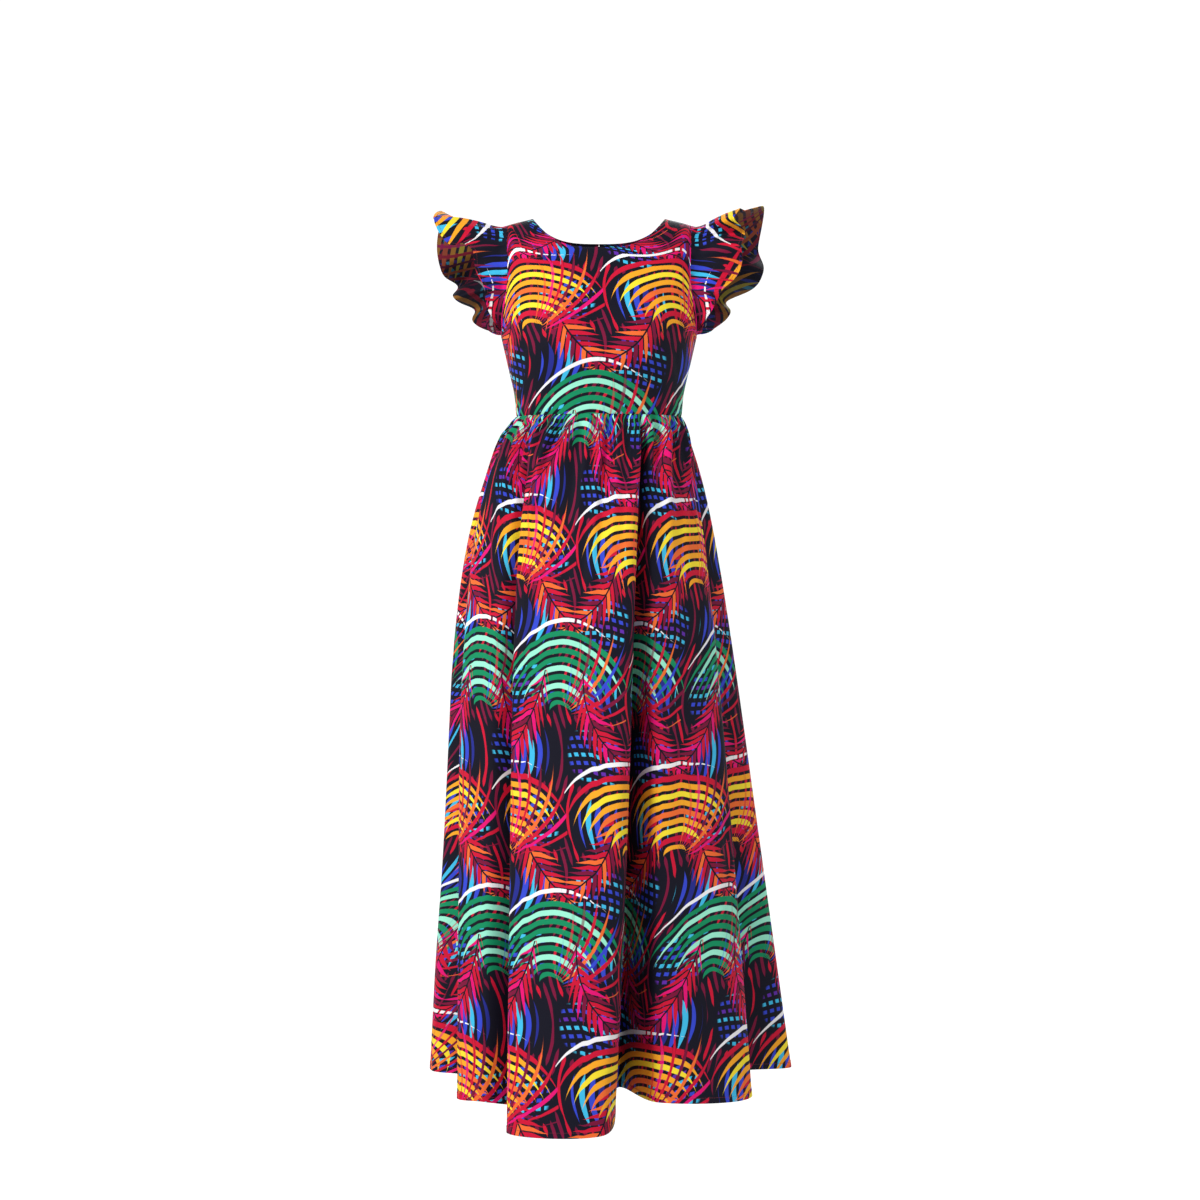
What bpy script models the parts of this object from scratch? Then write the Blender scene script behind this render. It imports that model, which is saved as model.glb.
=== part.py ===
"""Maxi dress with armhole ruffles, a fitted bodice and a gathered skirt, standing open as it is worn.

Metres, +Z up, the front faces -Y and the wearer's left side is +X.  The origin is midway between
the two shoulder seams, where the wearer's shoulders carry the dress.
"""

import math
from collections import namedtuple

import bmesh
import bpy
import numpy as np

# ---------------------------------------------------------------- driving sizes
WALL = 0.0014  # cloth wall
SEAM = 0.0003  # clearance between two sewn pieces
WAIST_Z = -0.307  # waist seam, below the shoulder seams
HEM_Z = -1.404  # lowest point of the hem
NECK_HALF = 0.105  # half the width of the neck opening on the shoulder seam
NECK_DROP_FRONT = 0.045
NECK_DROP_BACK = 0.024
NECK_ROUNDNESS = 3.3  # power of the neckline's curve, a wide scoop
SHOULDER_TOP = 0.007  # height of the shoulder seam at the neck
SHOULDER_FALL = 0.010  # fall of the shoulder seam from neck to armhole
SHOULDER_OUT = 0.1455  # where the shoulder seam meets the armhole
SHOULDER_ROUND = 0.050  # height over which the shoulder turns from upright to flat
GATHERS = 32  # small folds that the waist seam holds
GATHER_REACH = 0.0046  # how far a gather stands out of and into the waist line

# Slow waves round the waist that make the gathers uneven: how much, how often and from where.
Wave = namedtuple("Wave", "amount times start")
GATHER_SHIFT = (Wave(0.16, 5, 0), Wave(0.10, 11, 0))  # of a gather's width, to and fro
GATHER_HEIGHT = (Wave(0.30, 9, 1), Wave(0.15, 4, 0))  # of its reach
GATHER_LENGTH = (Wave(0.05, 7, 0.5), Wave(0.04, 13, 2))  # of the skirt's length
GATHER_RUN = 0.13  # mean length of a gather, as a share of the skirt's
GATHER_FADE = 1.5  # power by which it fades
GATHER_HELD = 0.30  # share of its reach that the waist seam leaves it
GATHER_FREE = 0.012  # share of the skirt's length within which it stands out in full
FLAT_AT_ZIP = 10.0  # degrees either side of the zip that the gathers leave flat

FRONT, BACK = -1.0, 1.0  # the sign of y on each side
LEFT, RIGHT = -1.0, 1.0  # the sign of x, as seen from the front

# Horizontal sections of the bodice: half width, depth before and behind the shoulder seam.
Section = namedtuple("Section", "z half_width front back squareness")
TORSO = (
    Section(-0.307, 0.1310, 0.098, 0.088, 2.00),
    Section(-0.270, 0.1345, 0.105, 0.088, 2.10),
    Section(-0.230, 0.1435, 0.116, 0.092, 2.25),
    Section(-0.190, 0.1525, 0.121, 0.096, 2.35),
    Section(-0.150, 0.1610, 0.112, 0.098, 2.40),
    Section(-0.100, 0.1650, 0.091, 0.093, 2.40),
    Section(-0.050, 0.1660, 0.070, 0.078, 2.40),
    Section(0.010, 0.1660, 0.060, 0.062, 2.40),
)
BUST = dict(apart=0.074, z=-0.182, out=0.011, wide=0.036, high=0.042)

# The armhole from the shoulder seam down to the underarm, as heights and turns round the body.
Armhole = namedtuple("Armhole", "z turn")
ARMHOLE = (
    Armhole(-0.003, 58.5),
    Armhole(-0.030, 58.0),
    Armhole(-0.060, 57.5),
    Armhole(-0.090, 57.5),
    Armhole(-0.120, 60.0),
    Armhole(-0.150, 65.5),
    Armhole(-0.172, 75.0),
    Armhole(-0.182, 90.0),
)

# Ribs of an armhole ruffle, from the front underarm (0) over the shoulder (0.5) to the back (1).
# forward and up are the rib's angles from straight out to the side, in degrees, and fall is how
# far it bends down by its outer end.
Rib = namedtuple("Rib", "along width forward up fall")
ARM_SEAM = 0.0004  # clearance of a ruffle from the edge that it is sewn to
RUFFLE_STRAIGHT = 0.0025  # how far a ruffle runs on along the bodice's surface
RUFFLE_TURNED = 0.25  # share of its width by which a ruffle has turned to its rib's angles
RUFFLE_COLUMNS, RUFFLE_ROWS = 52, 6
RUFFLE_RIGHT = (
    Rib(0.03, 0.010, 20, 10, 0),
    Rib(0.10, 0.020, 45, 0, 0),
    Rib(0.17, 0.034, 10, -5, 0),
    Rib(0.24, 0.056, 35, -8, 5),
    Rib(0.31, 0.078, 5, 0, 10),
    Rib(0.38, 0.088, 30, 8, 10),
    Rib(0.44, 0.086, 10, 12, 15),
    Rib(0.49, 0.092, 48, 22, 20),
    Rib(0.54, 0.130, -5, 27, 0),
    Rib(0.60, 0.128, -30, 18, 20),
    Rib(0.67, 0.120, 0, 5, 22),
    Rib(0.75, 0.092, -50, 0, 15),
    Rib(0.83, 0.066, -15, 0, 10),
    Rib(0.91, 0.046, -45, 5, 5),
    Rib(0.97, 0.018, -20, 10, 0),
)
RUFFLE_LEFT = (
    Rib(0.03, 0.010, 20, 10, 0),
    Rib(0.10, 0.018, 42, 0, 0),
    Rib(0.17, 0.030, 10, -5, 0),
    Rib(0.24, 0.042, 35, -5, 0),
    Rib(0.31, 0.052, 5, 0, 0),
    Rib(0.37, 0.058, 20, 5, 8),
    Rib(0.41, 0.070, 4, 10, 22),
    Rib(0.455, 0.096, 12, 14, 42),
    Rib(0.50, 0.118, 10, 22, 25),
    Rib(0.55, 0.120, -18, 27, 0),
    Rib(0.61, 0.118, -10, 15, 45),
    Rib(0.67, 0.112, -42, 5, 30),
    Rib(0.73, 0.095, -10, 0, 25),
    Rib(0.80, 0.075, -45, 0, 10),
    Rib(0.87, 0.055, -15, 0, 5),
    Rib(0.93, 0.034, -45, 5, 0),
    Rib(0.97, 0.012, -20, 10, 0),
)

# The skirt's plain outline, which its folds stand out of and dip into, and the share of its flare
# that the hips give it at once, on each side.
Outline = namedtuple("Outline", "left right front back")
WAIST_LINE = Outline(0.131, 0.131, 0.098, 0.088)
HEM_LINE = Outline(0.273, 0.296, 0.185, 0.270)
HIP_SHARE = Outline(0.65, 0.22, 0.42, 0.42)
HIP_REACH = 0.12  # share of the skirt's length within which the hips give it
FOLD_AT_HIP = 0.25  # share of a fold's depth reached just under the waist
FOLD_START = 0.05  # share of the skirt's length within which it is reached
FOLD_POWER = 1.3  # how the rest of the depth grows towards the hem
SETTLE = 0.05  # share of the length within which the cloth leaves the even waist line

# The skirt's large folds in order round it, in degrees from centre front.  Each has a crest with
# two edges and then the valley that parts it from the next, where they leave the waist and where
# they reach the hem.  Outs and ins are depths at the hem, and lifts its height above its lowest.
Fold = namedtuple("Fold", "name waist hem out lift valley_waist valley_hem valley_in valley_lift")
FOLDS = (
    Fold("left_side", (-120, -101), (-112, -90), -0.010, 0.062, -90, -64, 0.075, 0.055),
    Fold("front_left", (-80, -51), (-59, -44), -0.018, 0.034, -43, -29, 0.085, 0.016),
    Fold("front_middle", (-36, 21), (-28, 1), 0.032, 0.000, 29, 9, 0.150, 0.042),
    Fold("front_right", (37, 80), (19, 64), -0.036, 0.037, 90, 70, 0.100, 0.056),
    Fold("right_side", (104, 118), (100, 122), 0.016, 0.060, 127, 133, 0.045, 0.052),
    Fold("back_right", (135, 147), (140, 150), 0.024, 0.044, 155, 158, 0.050, 0.036),
    Fold("back_middle", (170, 190), (172, 188), 0.012, 0.032, 198, 197, 0.060, 0.034),
    Fold("back_left", (205, 214), (205, 216), 0.030, 0.036, 220, 224, 0.060, 0.042),
    Fold("back_far_left", (226, 232), (232, 240), 0.020, 0.046, 236, 244, 0.045, 0.054),
)
LEFT_SEAM, RIGHT_SEAM, BACK_SEAM = "left_side", "front_right", "back_middle"
MIDDLE_OF_CREST = 1.5  # rows from a valley back to the middle of the crest before it

# Rows of points down the skirt, as shares of its length, close together where the gathers are.
SKIRT_ROWS = (0, 0.012, 0.03, 0.06, 0.11, 0.18, 0.28, 0.40, 0.54, 0.69, 0.84, 1)
BODICE_ROWS = dict(all=22, neck=9, arm=15)  # rows down a bodice panel and its curved edges
BODICE_COLUMNS = 11
UNDERARM_ROW_Z = -0.215  # height at the centre of the row of points that ends at the underarm
COLUMNS = dict(front=82, back_right=40, back_left=40)  # columns of points round each panel
WAIST_WEIGHT = 0.6  # columns are this far from even at the hem (0) to even at the waist (1)
FINE = 20  # places looked at for each column when they are spaced out
CREASE_ANGLE = 50.0  # degrees past which two faces meet in an edge

ZIP_ROWS = 4  # rows of skirt points that the zip runs down past the waist
ZIP_START = 0.12  # where the tape starts, as a share of the first row of the bodice
TAPE_HALF = 0.0100
TAPE_THICK = 0.0008
TAPE_GAP = 0.0004
COIL_HALF = 0.0009
COIL_TOP_HALF = 0.0006
CHANNEL_HALF = 0.0013  # half the gap between the back edges, in which the coil lies

# The slider's plate, the lugs that carry its bar, the bar, and the pull tab that turns on the bar.
PLATE = dict(half=0.0030, waist=0.0022, half_length=0.0050, shoulder=0.0035, thick=0.0014)
LUG = dict(inside=0.0021, outside=0.0030, half_length=0.0014, high=0.0027)
BAR = dict(radius=0.00060, high=0.0018, along=-0.0018)
EYE = dict(radius=0.00140, hole=0.00068, half_width=0.0016)
TAB = dict(length=0.0260, top=0.0016, bottom=0.0034, half_thick=0.00045, flares_at=0.0060)
SLIDER_ROW = 0  # the row of points down the zip that the slider sits below
ROUND_SIDES = 20

# ---------------------------------------------------------------- curves


def through(places, values, wanted):
    """Smooth curve through values at increasing places, read at wanted; values may have columns."""
    places = np.asarray(places, float)
    values = np.asarray(values, float)
    wanted = np.asarray(wanted, float)
    steps = np.diff(places)
    tail = (1,) * (values.ndim - 1)
    chords = np.diff(values, axis=0) / steps.reshape((-1,) + tail)
    slopes = np.empty_like(values)
    before, after = steps[:-1].reshape((-1,) + tail), steps[1:].reshape((-1,) + tail)
    slopes[1:-1] = (chords[:-1] * after + chords[1:] * before) / (before + after)
    slopes[0], slopes[-1] = chords[0], chords[-1]
    cell = np.clip(np.searchsorted(places, wanted, side="right") - 1, 0, len(steps) - 1)
    share = ((wanted - places[cell]) / steps[cell]).reshape(wanted.shape + tail)
    width = steps[cell].reshape(wanted.shape + tail)
    first, last = values[cell], values[cell + 1]
    return (
        first * (1 + 2 * share) * (1 - share) ** 2
        + slopes[cell] * width * share * (1 - share) ** 2
        + last * share**2 * (3 - 2 * share)
        + slopes[cell + 1] * width * share**2 * (share - 1)
    )


def round_through(places, values, wanted):
    """The same for a closed curve whose places run once round from 0 to 1."""
    places = np.asarray(places, float)
    three_turns = np.concatenate([places - 1, places, places + 1])
    return through(three_turns, np.concatenate([values] * 3), np.mod(wanted, 1.0))


def unit(vectors):
    """Vectors scaled to length 1."""
    return vectors / np.linalg.norm(vectors, axis=-1, keepdims=True)


def table_column(table, name):
    """One named column of a table of rows."""
    return [getattr(row, name) for row in table]


# ---------------------------------------------------------------- bodice form


def shoulder_height(x):
    """Height of the shoulder seam above x."""
    slope = SHOULDER_FALL / (SHOULDER_OUT - NECK_HALF)
    return SHOULDER_TOP - slope * np.maximum(np.abs(x) - NECK_HALF, 0)


def body(turn, z, face):
    """Point of the bodice's outer surface at a turn from centre front or back, in degrees."""
    heights = table_column(TORSO, "z")
    half = through(heights, table_column(TORSO, "half_width"), z)
    deep = through(heights, table_column(TORSO, "front" if face == FRONT else "back"), z)
    power = 2 / through(heights, table_column(TORSO, "squareness"), z)
    across, along = np.sin(np.radians(turn)), np.cos(np.radians(turn))
    x = half * np.sign(across) * np.abs(across) ** power
    fall = np.clip((shoulder_height(x) - z) / SHOULDER_ROUND, 0, 1)
    turned_in = np.sqrt(1 - (1 - fall) ** 2)
    y = face * deep * turned_in * np.maximum(along, 0) ** power
    if face == FRONT:
        for side in (LEFT, RIGHT):
            near = ((x - side * BUST["apart"]) / BUST["wide"]) ** 2
            near = near + ((z - BUST["z"]) / BUST["high"]) ** 2
            y = y - BUST["out"] * np.exp(-near / 2)
    return np.stack([x, y, z + 0 * x], axis=-1)


def neckline(count, face):
    """Turns and heights along half the neckline, centre first, and its end on the shoulder."""
    drop = NECK_DROP_FRONT if face == FRONT else NECK_DROP_BACK
    x = NECK_HALF * np.sin(np.linspace(0, math.pi / 2, count))
    z = SHOULDER_TOP - (drop + SHOULDER_TOP) * (1 - (x / NECK_HALF) ** NECK_ROUNDNESS)
    half = through(table_column(TORSO, "z"), table_column(TORSO, "half_width"), z)
    power = through(table_column(TORSO, "z"), table_column(TORSO, "squareness"), z) / 2
    return np.degrees(np.arcsin((x / half) ** power)), z


def armhole(down):
    """Turn and height on the armhole, down from the shoulder seam (0) to the underarm (1)."""
    rows = np.array([[row.z, row.turn] for row in ARMHOLE])
    spread = body(rows[:, 1], rows[:, 0], FRONT)
    length = np.concatenate([[0], np.cumsum(np.linalg.norm(np.diff(spread, axis=0), axis=1))])
    place = through(length / length[-1], rows, np.asarray(down, float))
    return place[..., 1], place[..., 0]


def half_panel(face, side):
    """Grid of points of half a bodice panel, from its inner edge to its outer, top row first."""
    neck_rows, arm_rows = BODICE_ROWS["neck"], BODICE_ROWS["arm"]
    rows = BODICE_ROWS["all"]
    turn, z = neckline(neck_rows, face)
    middle = np.linspace(z[0], UNDERARM_ROW_Z, arm_rows - neck_rows + 1)[1:]
    below = np.linspace(0, 1, rows - arm_rows + 1)[1:]
    lower = UNDERARM_ROW_Z + (WAIST_Z - UNDERARM_ROW_Z) * below
    inner_z = np.concatenate([z[::-1], middle, lower])
    inner_turn = np.concatenate([turn[::-1], np.zeros(rows - neck_rows)])
    turn, z = armhole(np.linspace(0, 1, arm_rows))
    outer_turn = np.concatenate([turn, 90 + 0 * below])
    outer_z = np.concatenate([z, z[-1] + (WAIST_Z - z[-1]) * below])
    across = np.linspace(0, 1, BODICE_COLUMNS + 1)[:, None]
    turn = inner_turn + (outer_turn - inner_turn) * across
    z = inner_z + (outer_z - inner_z) * across
    z[:, 0] = SHOULDER_TOP - SHOULDER_FALL * across[:, 0]
    return body(side * turn, z, face)


def grid_normals(grid):
    """Outward normals of a grid whose first axis turns to the right and second runs down."""
    around = np.gradient(grid, axis=0)
    down = np.gradient(grid, axis=1)
    return unit(np.cross(down, around))


def flatten(normals, where, axis):
    """Turns the normals on a seam into the seam's plane, so that the wall ends square to it."""
    normals[where + (axis,)] = 0
    normals[where] = unit(normals[where])


def bodice_half(face, side):
    """Outer points and normals of half a bodice panel, trimmed back from its seams."""
    grid = half_panel(face, side)
    normals = grid_normals(grid) * side * -face
    flatten(normals, (slice(None), -1), 2)
    flatten(normals, (0, slice(BODICE_ROWS["neck"] - 1, None)), 0)
    flatten(normals, (-1, slice(BODICE_ROWS["arm"] - 1, None)), 1)
    normals[:, 0] = (0, 0, 1)
    grid[:, -1, 2] = WAIST_Z + SEAM / 2
    grid[:, 0, 1] = face * SEAM / 2
    grid[-1, BODICE_ROWS["arm"] - 1 :, 1] = face * SEAM / 2
    return grid, normals


# ---------------------------------------------------------------- skirt form


def oval(line, turn):
    """Point of an oval outline at a turn from centre front, and its outward direction."""
    across, along = np.sin(np.radians(turn)), np.cos(np.radians(turn))
    half = np.where(across < 0, line.left, line.right)
    deep = np.where(along > 0, line.front, line.back)
    point = np.stack([half * across, -deep * along], axis=-1)
    return point, unit(np.stack([across / half, -along / deep], axis=-1))


def outline_at(down):
    """The skirt's plain outline at a share of its length."""
    quick = (1 - math.exp(-down / HIP_REACH)) / (1 - math.exp(-1 / HIP_REACH))
    sides = zip(WAIST_LINE, HEM_LINE, HIP_SHARE)
    return Outline(*(a + (b - a) * (hip * quick + (1 - hip) * down) for a, b, hip in sides))


def fold_depth(down):
    """Share of a large fold's depth reached at a share of the skirt's length."""
    at_hip = FOLD_AT_HIP * (1 - math.exp(-down / FOLD_START))
    return at_hip + (1 - FOLD_AT_HIP) * down**FOLD_POWER


def fold_lines():
    """Rows of waist turn, hem turn, reach out and hem height, and the row numbers of the seams.

    A seam lies in the valley after its fold, but for the back seam, which lies on its fold's crest.
    """
    lines, seams = [], {}
    for fold in FOLDS:
        for waist, hem in zip(fold.waist, fold.hem):
            lines.append((waist, hem, fold.out, HEM_Z + fold.lift))
        seams[fold.name] = len(lines)
        lines.append(
            (fold.valley_waist, fold.valley_hem, -fold.valley_in, HEM_Z + fold.valley_lift)
        )
    seams[BACK_SEAM] -= MIDDLE_OF_CREST
    return np.array(lines, float), seams


def cloth_places(lines):
    """Share of the cloth, from 0 to 1 round the skirt, at which each fold line lies at the hem."""
    point, out = oval(HEM_LINE, lines[:, 1])
    hem = point + out * lines[:, 2:3]
    lengths = np.linalg.norm(np.roll(hem, -1, axis=0) - hem, axis=1)
    return np.concatenate([[0], np.cumsum(lengths)[:-1]]) / lengths.sum()


def waist_turn(share):
    """Turn at the waist, in degrees, of a share of the cloth."""
    lines, _ = fold_lines()
    places = cloth_places(lines)
    twice = np.concatenate([places, places + 1, [places[0] + 2]])
    turns = np.concatenate([lines[:, 0], lines[:, 0] + 360, [lines[0, 0] + 720]])
    return np.interp(share, twice, turns)


def seam_places():
    """Cloth shares of the left, right and centre back seams of the skirt."""
    lines, seams = fold_lines()
    places = cloth_places(lines)
    numbers = [seams[name] for name in (LEFT_SEAM, RIGHT_SEAM, BACK_SEAM)]
    return [float(np.interp(number, np.arange(len(places)), places)) for number in numbers]


def panel_columns(first, last, count):
    """Cloth shares of a panel's columns, part way from even at the hem to even at the waist."""
    share = np.linspace(first, last, FINE * count)
    even = WAIST_WEIGHT * waist_turn(share) / 360 + (1 - WAIST_WEIGHT) * share
    wanted = np.linspace(even[0], even[-1], count, endpoint=False)
    return np.interp(wanted, even, share)


def waves(table, turn):
    """Sum of slow waves at a turn round the waist."""
    round_once = np.radians(turn)
    return sum(wave.amount * np.sin(wave.times * round_once + wave.start) for wave in table)


def gathers(turn, down):
    """How far the small gathers stand out of the cloth, at a turn at the waist and a share down."""
    phase = GATHERS * turn / 360 + waves(GATHER_SHIFT, turn)
    uneven = 1 + waves(GATHER_HEIGHT, turn)
    length = GATHER_RUN + waves(GATHER_LENGTH, turn)
    held = GATHER_HELD + (1 - GATHER_HELD) * (1 - np.exp(-down / GATHER_FREE))
    fades = np.exp(-((down / length) ** GATHER_FADE))
    from_zip = np.abs(np.mod(turn, 360) - 180)
    flat_at_zip = 1 - np.exp(-((from_zip / FLAT_AT_ZIP) ** 4))
    return GATHER_REACH * uneven * held * fades * flat_at_zip * np.sin(2 * math.pi * phase)


def skirt_points(share, down):
    """Outer points of the skirt on a grid of cloth shares by shares of its length."""
    lines, _ = fold_lines()
    places = cloth_places(lines)
    plain_turn = waist_turn(share)
    hem = round_through(places, lines[:, 3], share)
    grid = np.empty((len(share), len(down), 3))
    for row, depth in enumerate(down):
        outline = outline_at(depth)
        spread = outline.front - WAIST_LINE.front
        spread = spread / (HEM_LINE.front - WAIST_LINE.front)
        turn = lines[:, 0] + (lines[:, 1] - lines[:, 0]) * spread
        point, out = oval(outline, turn)
        point = point + out * lines[:, 2:3] * fold_depth(depth)
        folded = round_through(places, point, share)
        plain, _ = oval(outline, plain_turn)
        settle = math.exp(-((depth / SETTLE) ** 2))
        grid[:, row, :2] = folded + (plain - folded) * settle
        grid[:, row, 2] = WAIST_Z - SEAM / 2 + (hem - WAIST_Z) * depth
    around = grid_tangents(grid)
    outward = unit(np.stack([around[..., 1], -around[..., 0], 0 * around[..., 0]], axis=-1))
    small = gathers(plain_turn[:, None], np.asarray(down)[None, :])
    return grid + outward * small[..., None]


def grid_tangents(grid):
    """Directions to the right along a grid that closes round on itself, ends included."""
    steps = np.roll(grid, -1, axis=0) - np.roll(grid, 1, axis=0)
    return unit(steps)


def skirt_ring():
    """Outer points, normals and tangents of the whole skirt, starting at the left seam."""
    left, right, back = seam_places()
    ends = (left, right, back, left + 1)
    share = [
        panel_columns(first, last, count)
        for first, last, count in zip(ends, ends[1:], COLUMNS.values())
    ]
    grid = skirt_points(np.concatenate(share), np.array(SKIRT_ROWS, float))
    around = grid_tangents(grid)
    down = np.gradient(grid, axis=1)
    normals = unit(np.cross(down, around))
    flatten(normals, (slice(None), 0), 2)
    return grid, normals, around


def skirt_panel(ring, first, last):
    """Outer points and normals of the panel between two columns, drawn in from its seams."""
    grid, normals, around = ring
    columns = np.arange(first, last + 1) % len(grid)
    points, outward = grid[columns].copy(), normals[columns].copy()
    back_seam = COLUMNS["front"] + COLUMNS["back_right"]
    for edge, column, inwards in ((0, first, 1), (-1, last, -1)):
        drawn = np.full((grid.shape[1], 1), SEAM / 2)
        if column == back_seam:
            drawn[: ZIP_ROWS + 1] = CHANNEL_HALF
        points[edge] += inwards * around[columns[edge]] * drawn
    return points, outward


# ---------------------------------------------------------------- zip form


def zip_strip(x):
    """Points and normals down the centre back from neck to zip end, at distances x from centre."""
    right, right_normals = bodice_half(BACK, RIGHT)
    left, left_normals = bodice_half(BACK, LEFT)
    top = BODICE_ROWS["neck"] - 1
    bodice = np.concatenate([left[:0:-1, top:-1], right[:, top:-1]])
    bodice_normals = np.concatenate([left_normals[:0:-1, top:-1], right_normals[:, top:-1]])
    skirt, skirt_normals, _ = skirt_ring()
    seam = COLUMNS["front"] + COLUMNS["back_right"]
    beside = slice(seam + BODICE_COLUMNS, seam - BODICE_COLUMNS - 1, -1)
    points = np.concatenate([bodice, skirt[beside, : ZIP_ROWS + 1]], axis=1)
    normals = np.concatenate([bodice_normals, skirt_normals[beside, : ZIP_ROWS + 1]], axis=1)
    points[:, 0] += (points[:, 1] - points[:, 0]) * ZIP_START
    strip = np.empty((2, len(x), points.shape[1], 3))
    for row in range(points.shape[1]):
        beside_x = x + points[BODICE_COLUMNS, row, 0]
        for axis in range(3):
            strip[0, :, row, axis] = np.interp(beside_x, points[:, row, 0], points[:, row, axis])
            strip[1, :, row, axis] = np.interp(beside_x, points[:, row, 0], normals[:, row, axis])
    return strip[0], unit(strip[1])


def zip_tape():
    """Outer and inner points of the tape with its raised coil, across and down."""
    under = WALL + TAPE_GAP
    profile = (
        (TAPE_HALF, under),
        (COIL_HALF, under),
        (COIL_TOP_HALF, SEAM),
        (-COIL_TOP_HALF, SEAM),
        (-COIL_HALF, under),
        (-TAPE_HALF, under),
    )
    x, depth = np.array(profile).T
    points, normals = zip_strip(x)
    return points - normals * depth[:, None, None], points - normals * (under + TAPE_THICK)


def slider_frame():
    """Where the slider sits: its origin on the cloth, and its across, down and out directions."""
    points = zip_strip(np.zeros(1))[0][0]
    above, below = points[SLIDER_ROW], points[SLIDER_ROW + 1]
    down = unit(below - above)
    return (above + below) / 2, np.array([1, 0, 0]), down, np.array([0, -down[2], down[1]])


# ---------------------------------------------------------------- ruffle form


def armhole_frame(side, along):
    """Edge points of the armhole, with the directions out of the panel's edge and off its face."""
    arm = BODICE_ROWS["arm"]
    front, front_normals = bodice_half(FRONT, side)
    back, back_normals = bodice_half(BACK, side)
    edge = np.concatenate([front[-1, arm - 1 :: -1], back[-1, 1:arm]])
    off = np.concatenate([front_normals[-1, arm - 1 :: -1], back_normals[-1, 1:arm]])
    edge[arm - 1, 1] = 0
    forward = unit(np.gradient(edge, axis=0))
    places = np.linspace(0, 1, len(edge))
    edge, off, forward = (
        np.stack([np.interp(along, places, each[:, axis]) for axis in range(3)], axis=1)
        for each in (edge, off, forward)
    )
    out = unit(np.cross(forward, off)) * side
    return edge, out, unit(off)


def ruffle(side, ribs):
    """Grids of mid-wall points and normals of one ruffle, from the armhole edge outwards."""
    along = np.linspace(ribs[0].along, ribs[-1].along, RUFFLE_COLUMNS + 1)
    edge, out, off = armhole_frame(side, along)
    places = table_column(ribs, "along")
    width = through(places, table_column(ribs, "width"), along)[:, None]
    forward, up, fall = (
        np.radians(through(places, table_column(ribs, name), along))
        for name in ("forward", "up", "fall")
    )
    lean = np.stack(
        [side * np.cos(forward) * np.cos(up), -np.sin(forward) * np.cos(up), np.sin(up)], axis=1
    )
    grid = [edge - off * WALL / 2 + out * ARM_SEAM]
    grid.append(grid[0] + out * RUFFLE_STRAIGHT)
    across = np.linspace(0, 1, RUFFLE_ROWS)
    for share in (across[1:] + across[:-1]) / 2:
        turned = min(share / RUFFLE_TURNED, 1)
        step = unit(out * (1 - turned) + lean * turned)
        bend = (fall * share)[:, None]
        step = unit(step * np.cos(bend) - np.array([0, 0, 1]) * np.sin(bend))
        grid.append(grid[-1] + step * (width - RUFFLE_STRAIGHT) / (RUFFLE_ROWS - 1))
    grid = np.stack(grid, axis=1)
    normals = grid_normals(grid) * side
    normals[:, 0] = off
    return grid, normals


# ---------------------------------------------------------------- solids


def cloth_material(name, colour, roughness=0.85, metallic=0.0):
    """A plain Principled material."""
    material = bpy.data.materials.new(name)
    material.use_nodes = True
    shader = material.node_tree.nodes["Principled BSDF"]
    shader.inputs["Base Color"].default_value = (*colour, 1)
    shader.inputs["Roughness"].default_value = roughness
    shader.inputs["Metallic"].default_value = metallic
    material.diffuse_color = (*colour, 1)
    return material


def add_object(name, mesh_builder, material):
    """Makes an object from a bmesh, with its faces pointing out and shaded smooth."""
    bmesh.ops.recalc_face_normals(mesh_builder, faces=mesh_builder.faces)
    mesh = bpy.data.meshes.new(name)
    mesh_builder.to_mesh(mesh)
    mesh_builder.free()
    mesh.shade_smooth()
    mesh.set_sharp_from_angle(angle=math.radians(CREASE_ANGLE))
    if material:
        mesh.materials.append(material)
    made = bpy.data.objects.new(name, mesh)
    bpy.context.scene.collection.objects.link(made)
    return made


def grid_quads(numbers):
    """Corner numbers of the quads of a grid of point numbers, in order round each quad."""
    corners = (numbers[:-1, :-1], numbers[:-1, 1:], numbers[1:, 1:], numbers[1:, :-1])
    return np.stack([corner.ravel() for corner in corners], axis=1)


def add_shell(name, outer, inner, quads, material):
    """A closed wall between two lists of points that share their quads."""
    builder = bmesh.new()
    walls = [[builder.verts.new(point) for point in points] for points in (outer, inner)]
    edges = set()
    for corners in quads:
        a, b, c, d = corners
        if np.linalg.norm(outer[a] - outer[c]) > np.linalg.norm(outer[b] - outer[d]):
            a, b, c, d = b, c, d, a
        for triple in ((a, b, c), (a, c, d)):
            builder.faces.new([walls[0][k] for k in triple])
            builder.faces.new([walls[1][k] for k in reversed(triple)])
        edges.update(zip(corners.tolist(), np.roll(corners, -1).tolist()))
    for start, end in sorted(edges):
        if (end, start) not in edges:
            builder.faces.new((walls[0][end], walls[0][start], walls[1][start], walls[1][end]))
    return add_object(name, builder, material)


def add_grid_shell(name, outer, inner, material):
    """A closed wall between two grids of the same size."""
    numbers = np.arange(outer.shape[0] * outer.shape[1]).reshape(outer.shape[:2])
    return add_shell(name, outer.reshape(-1, 3), inner.reshape(-1, 3), grid_quads(numbers), material)


def add_cloth(name, points, normals, material):
    """A cloth wall whose outer face is a grid and whose inner face lies WALL inside it."""
    return add_grid_shell(name, points, points - normals * WALL, material)


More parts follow.
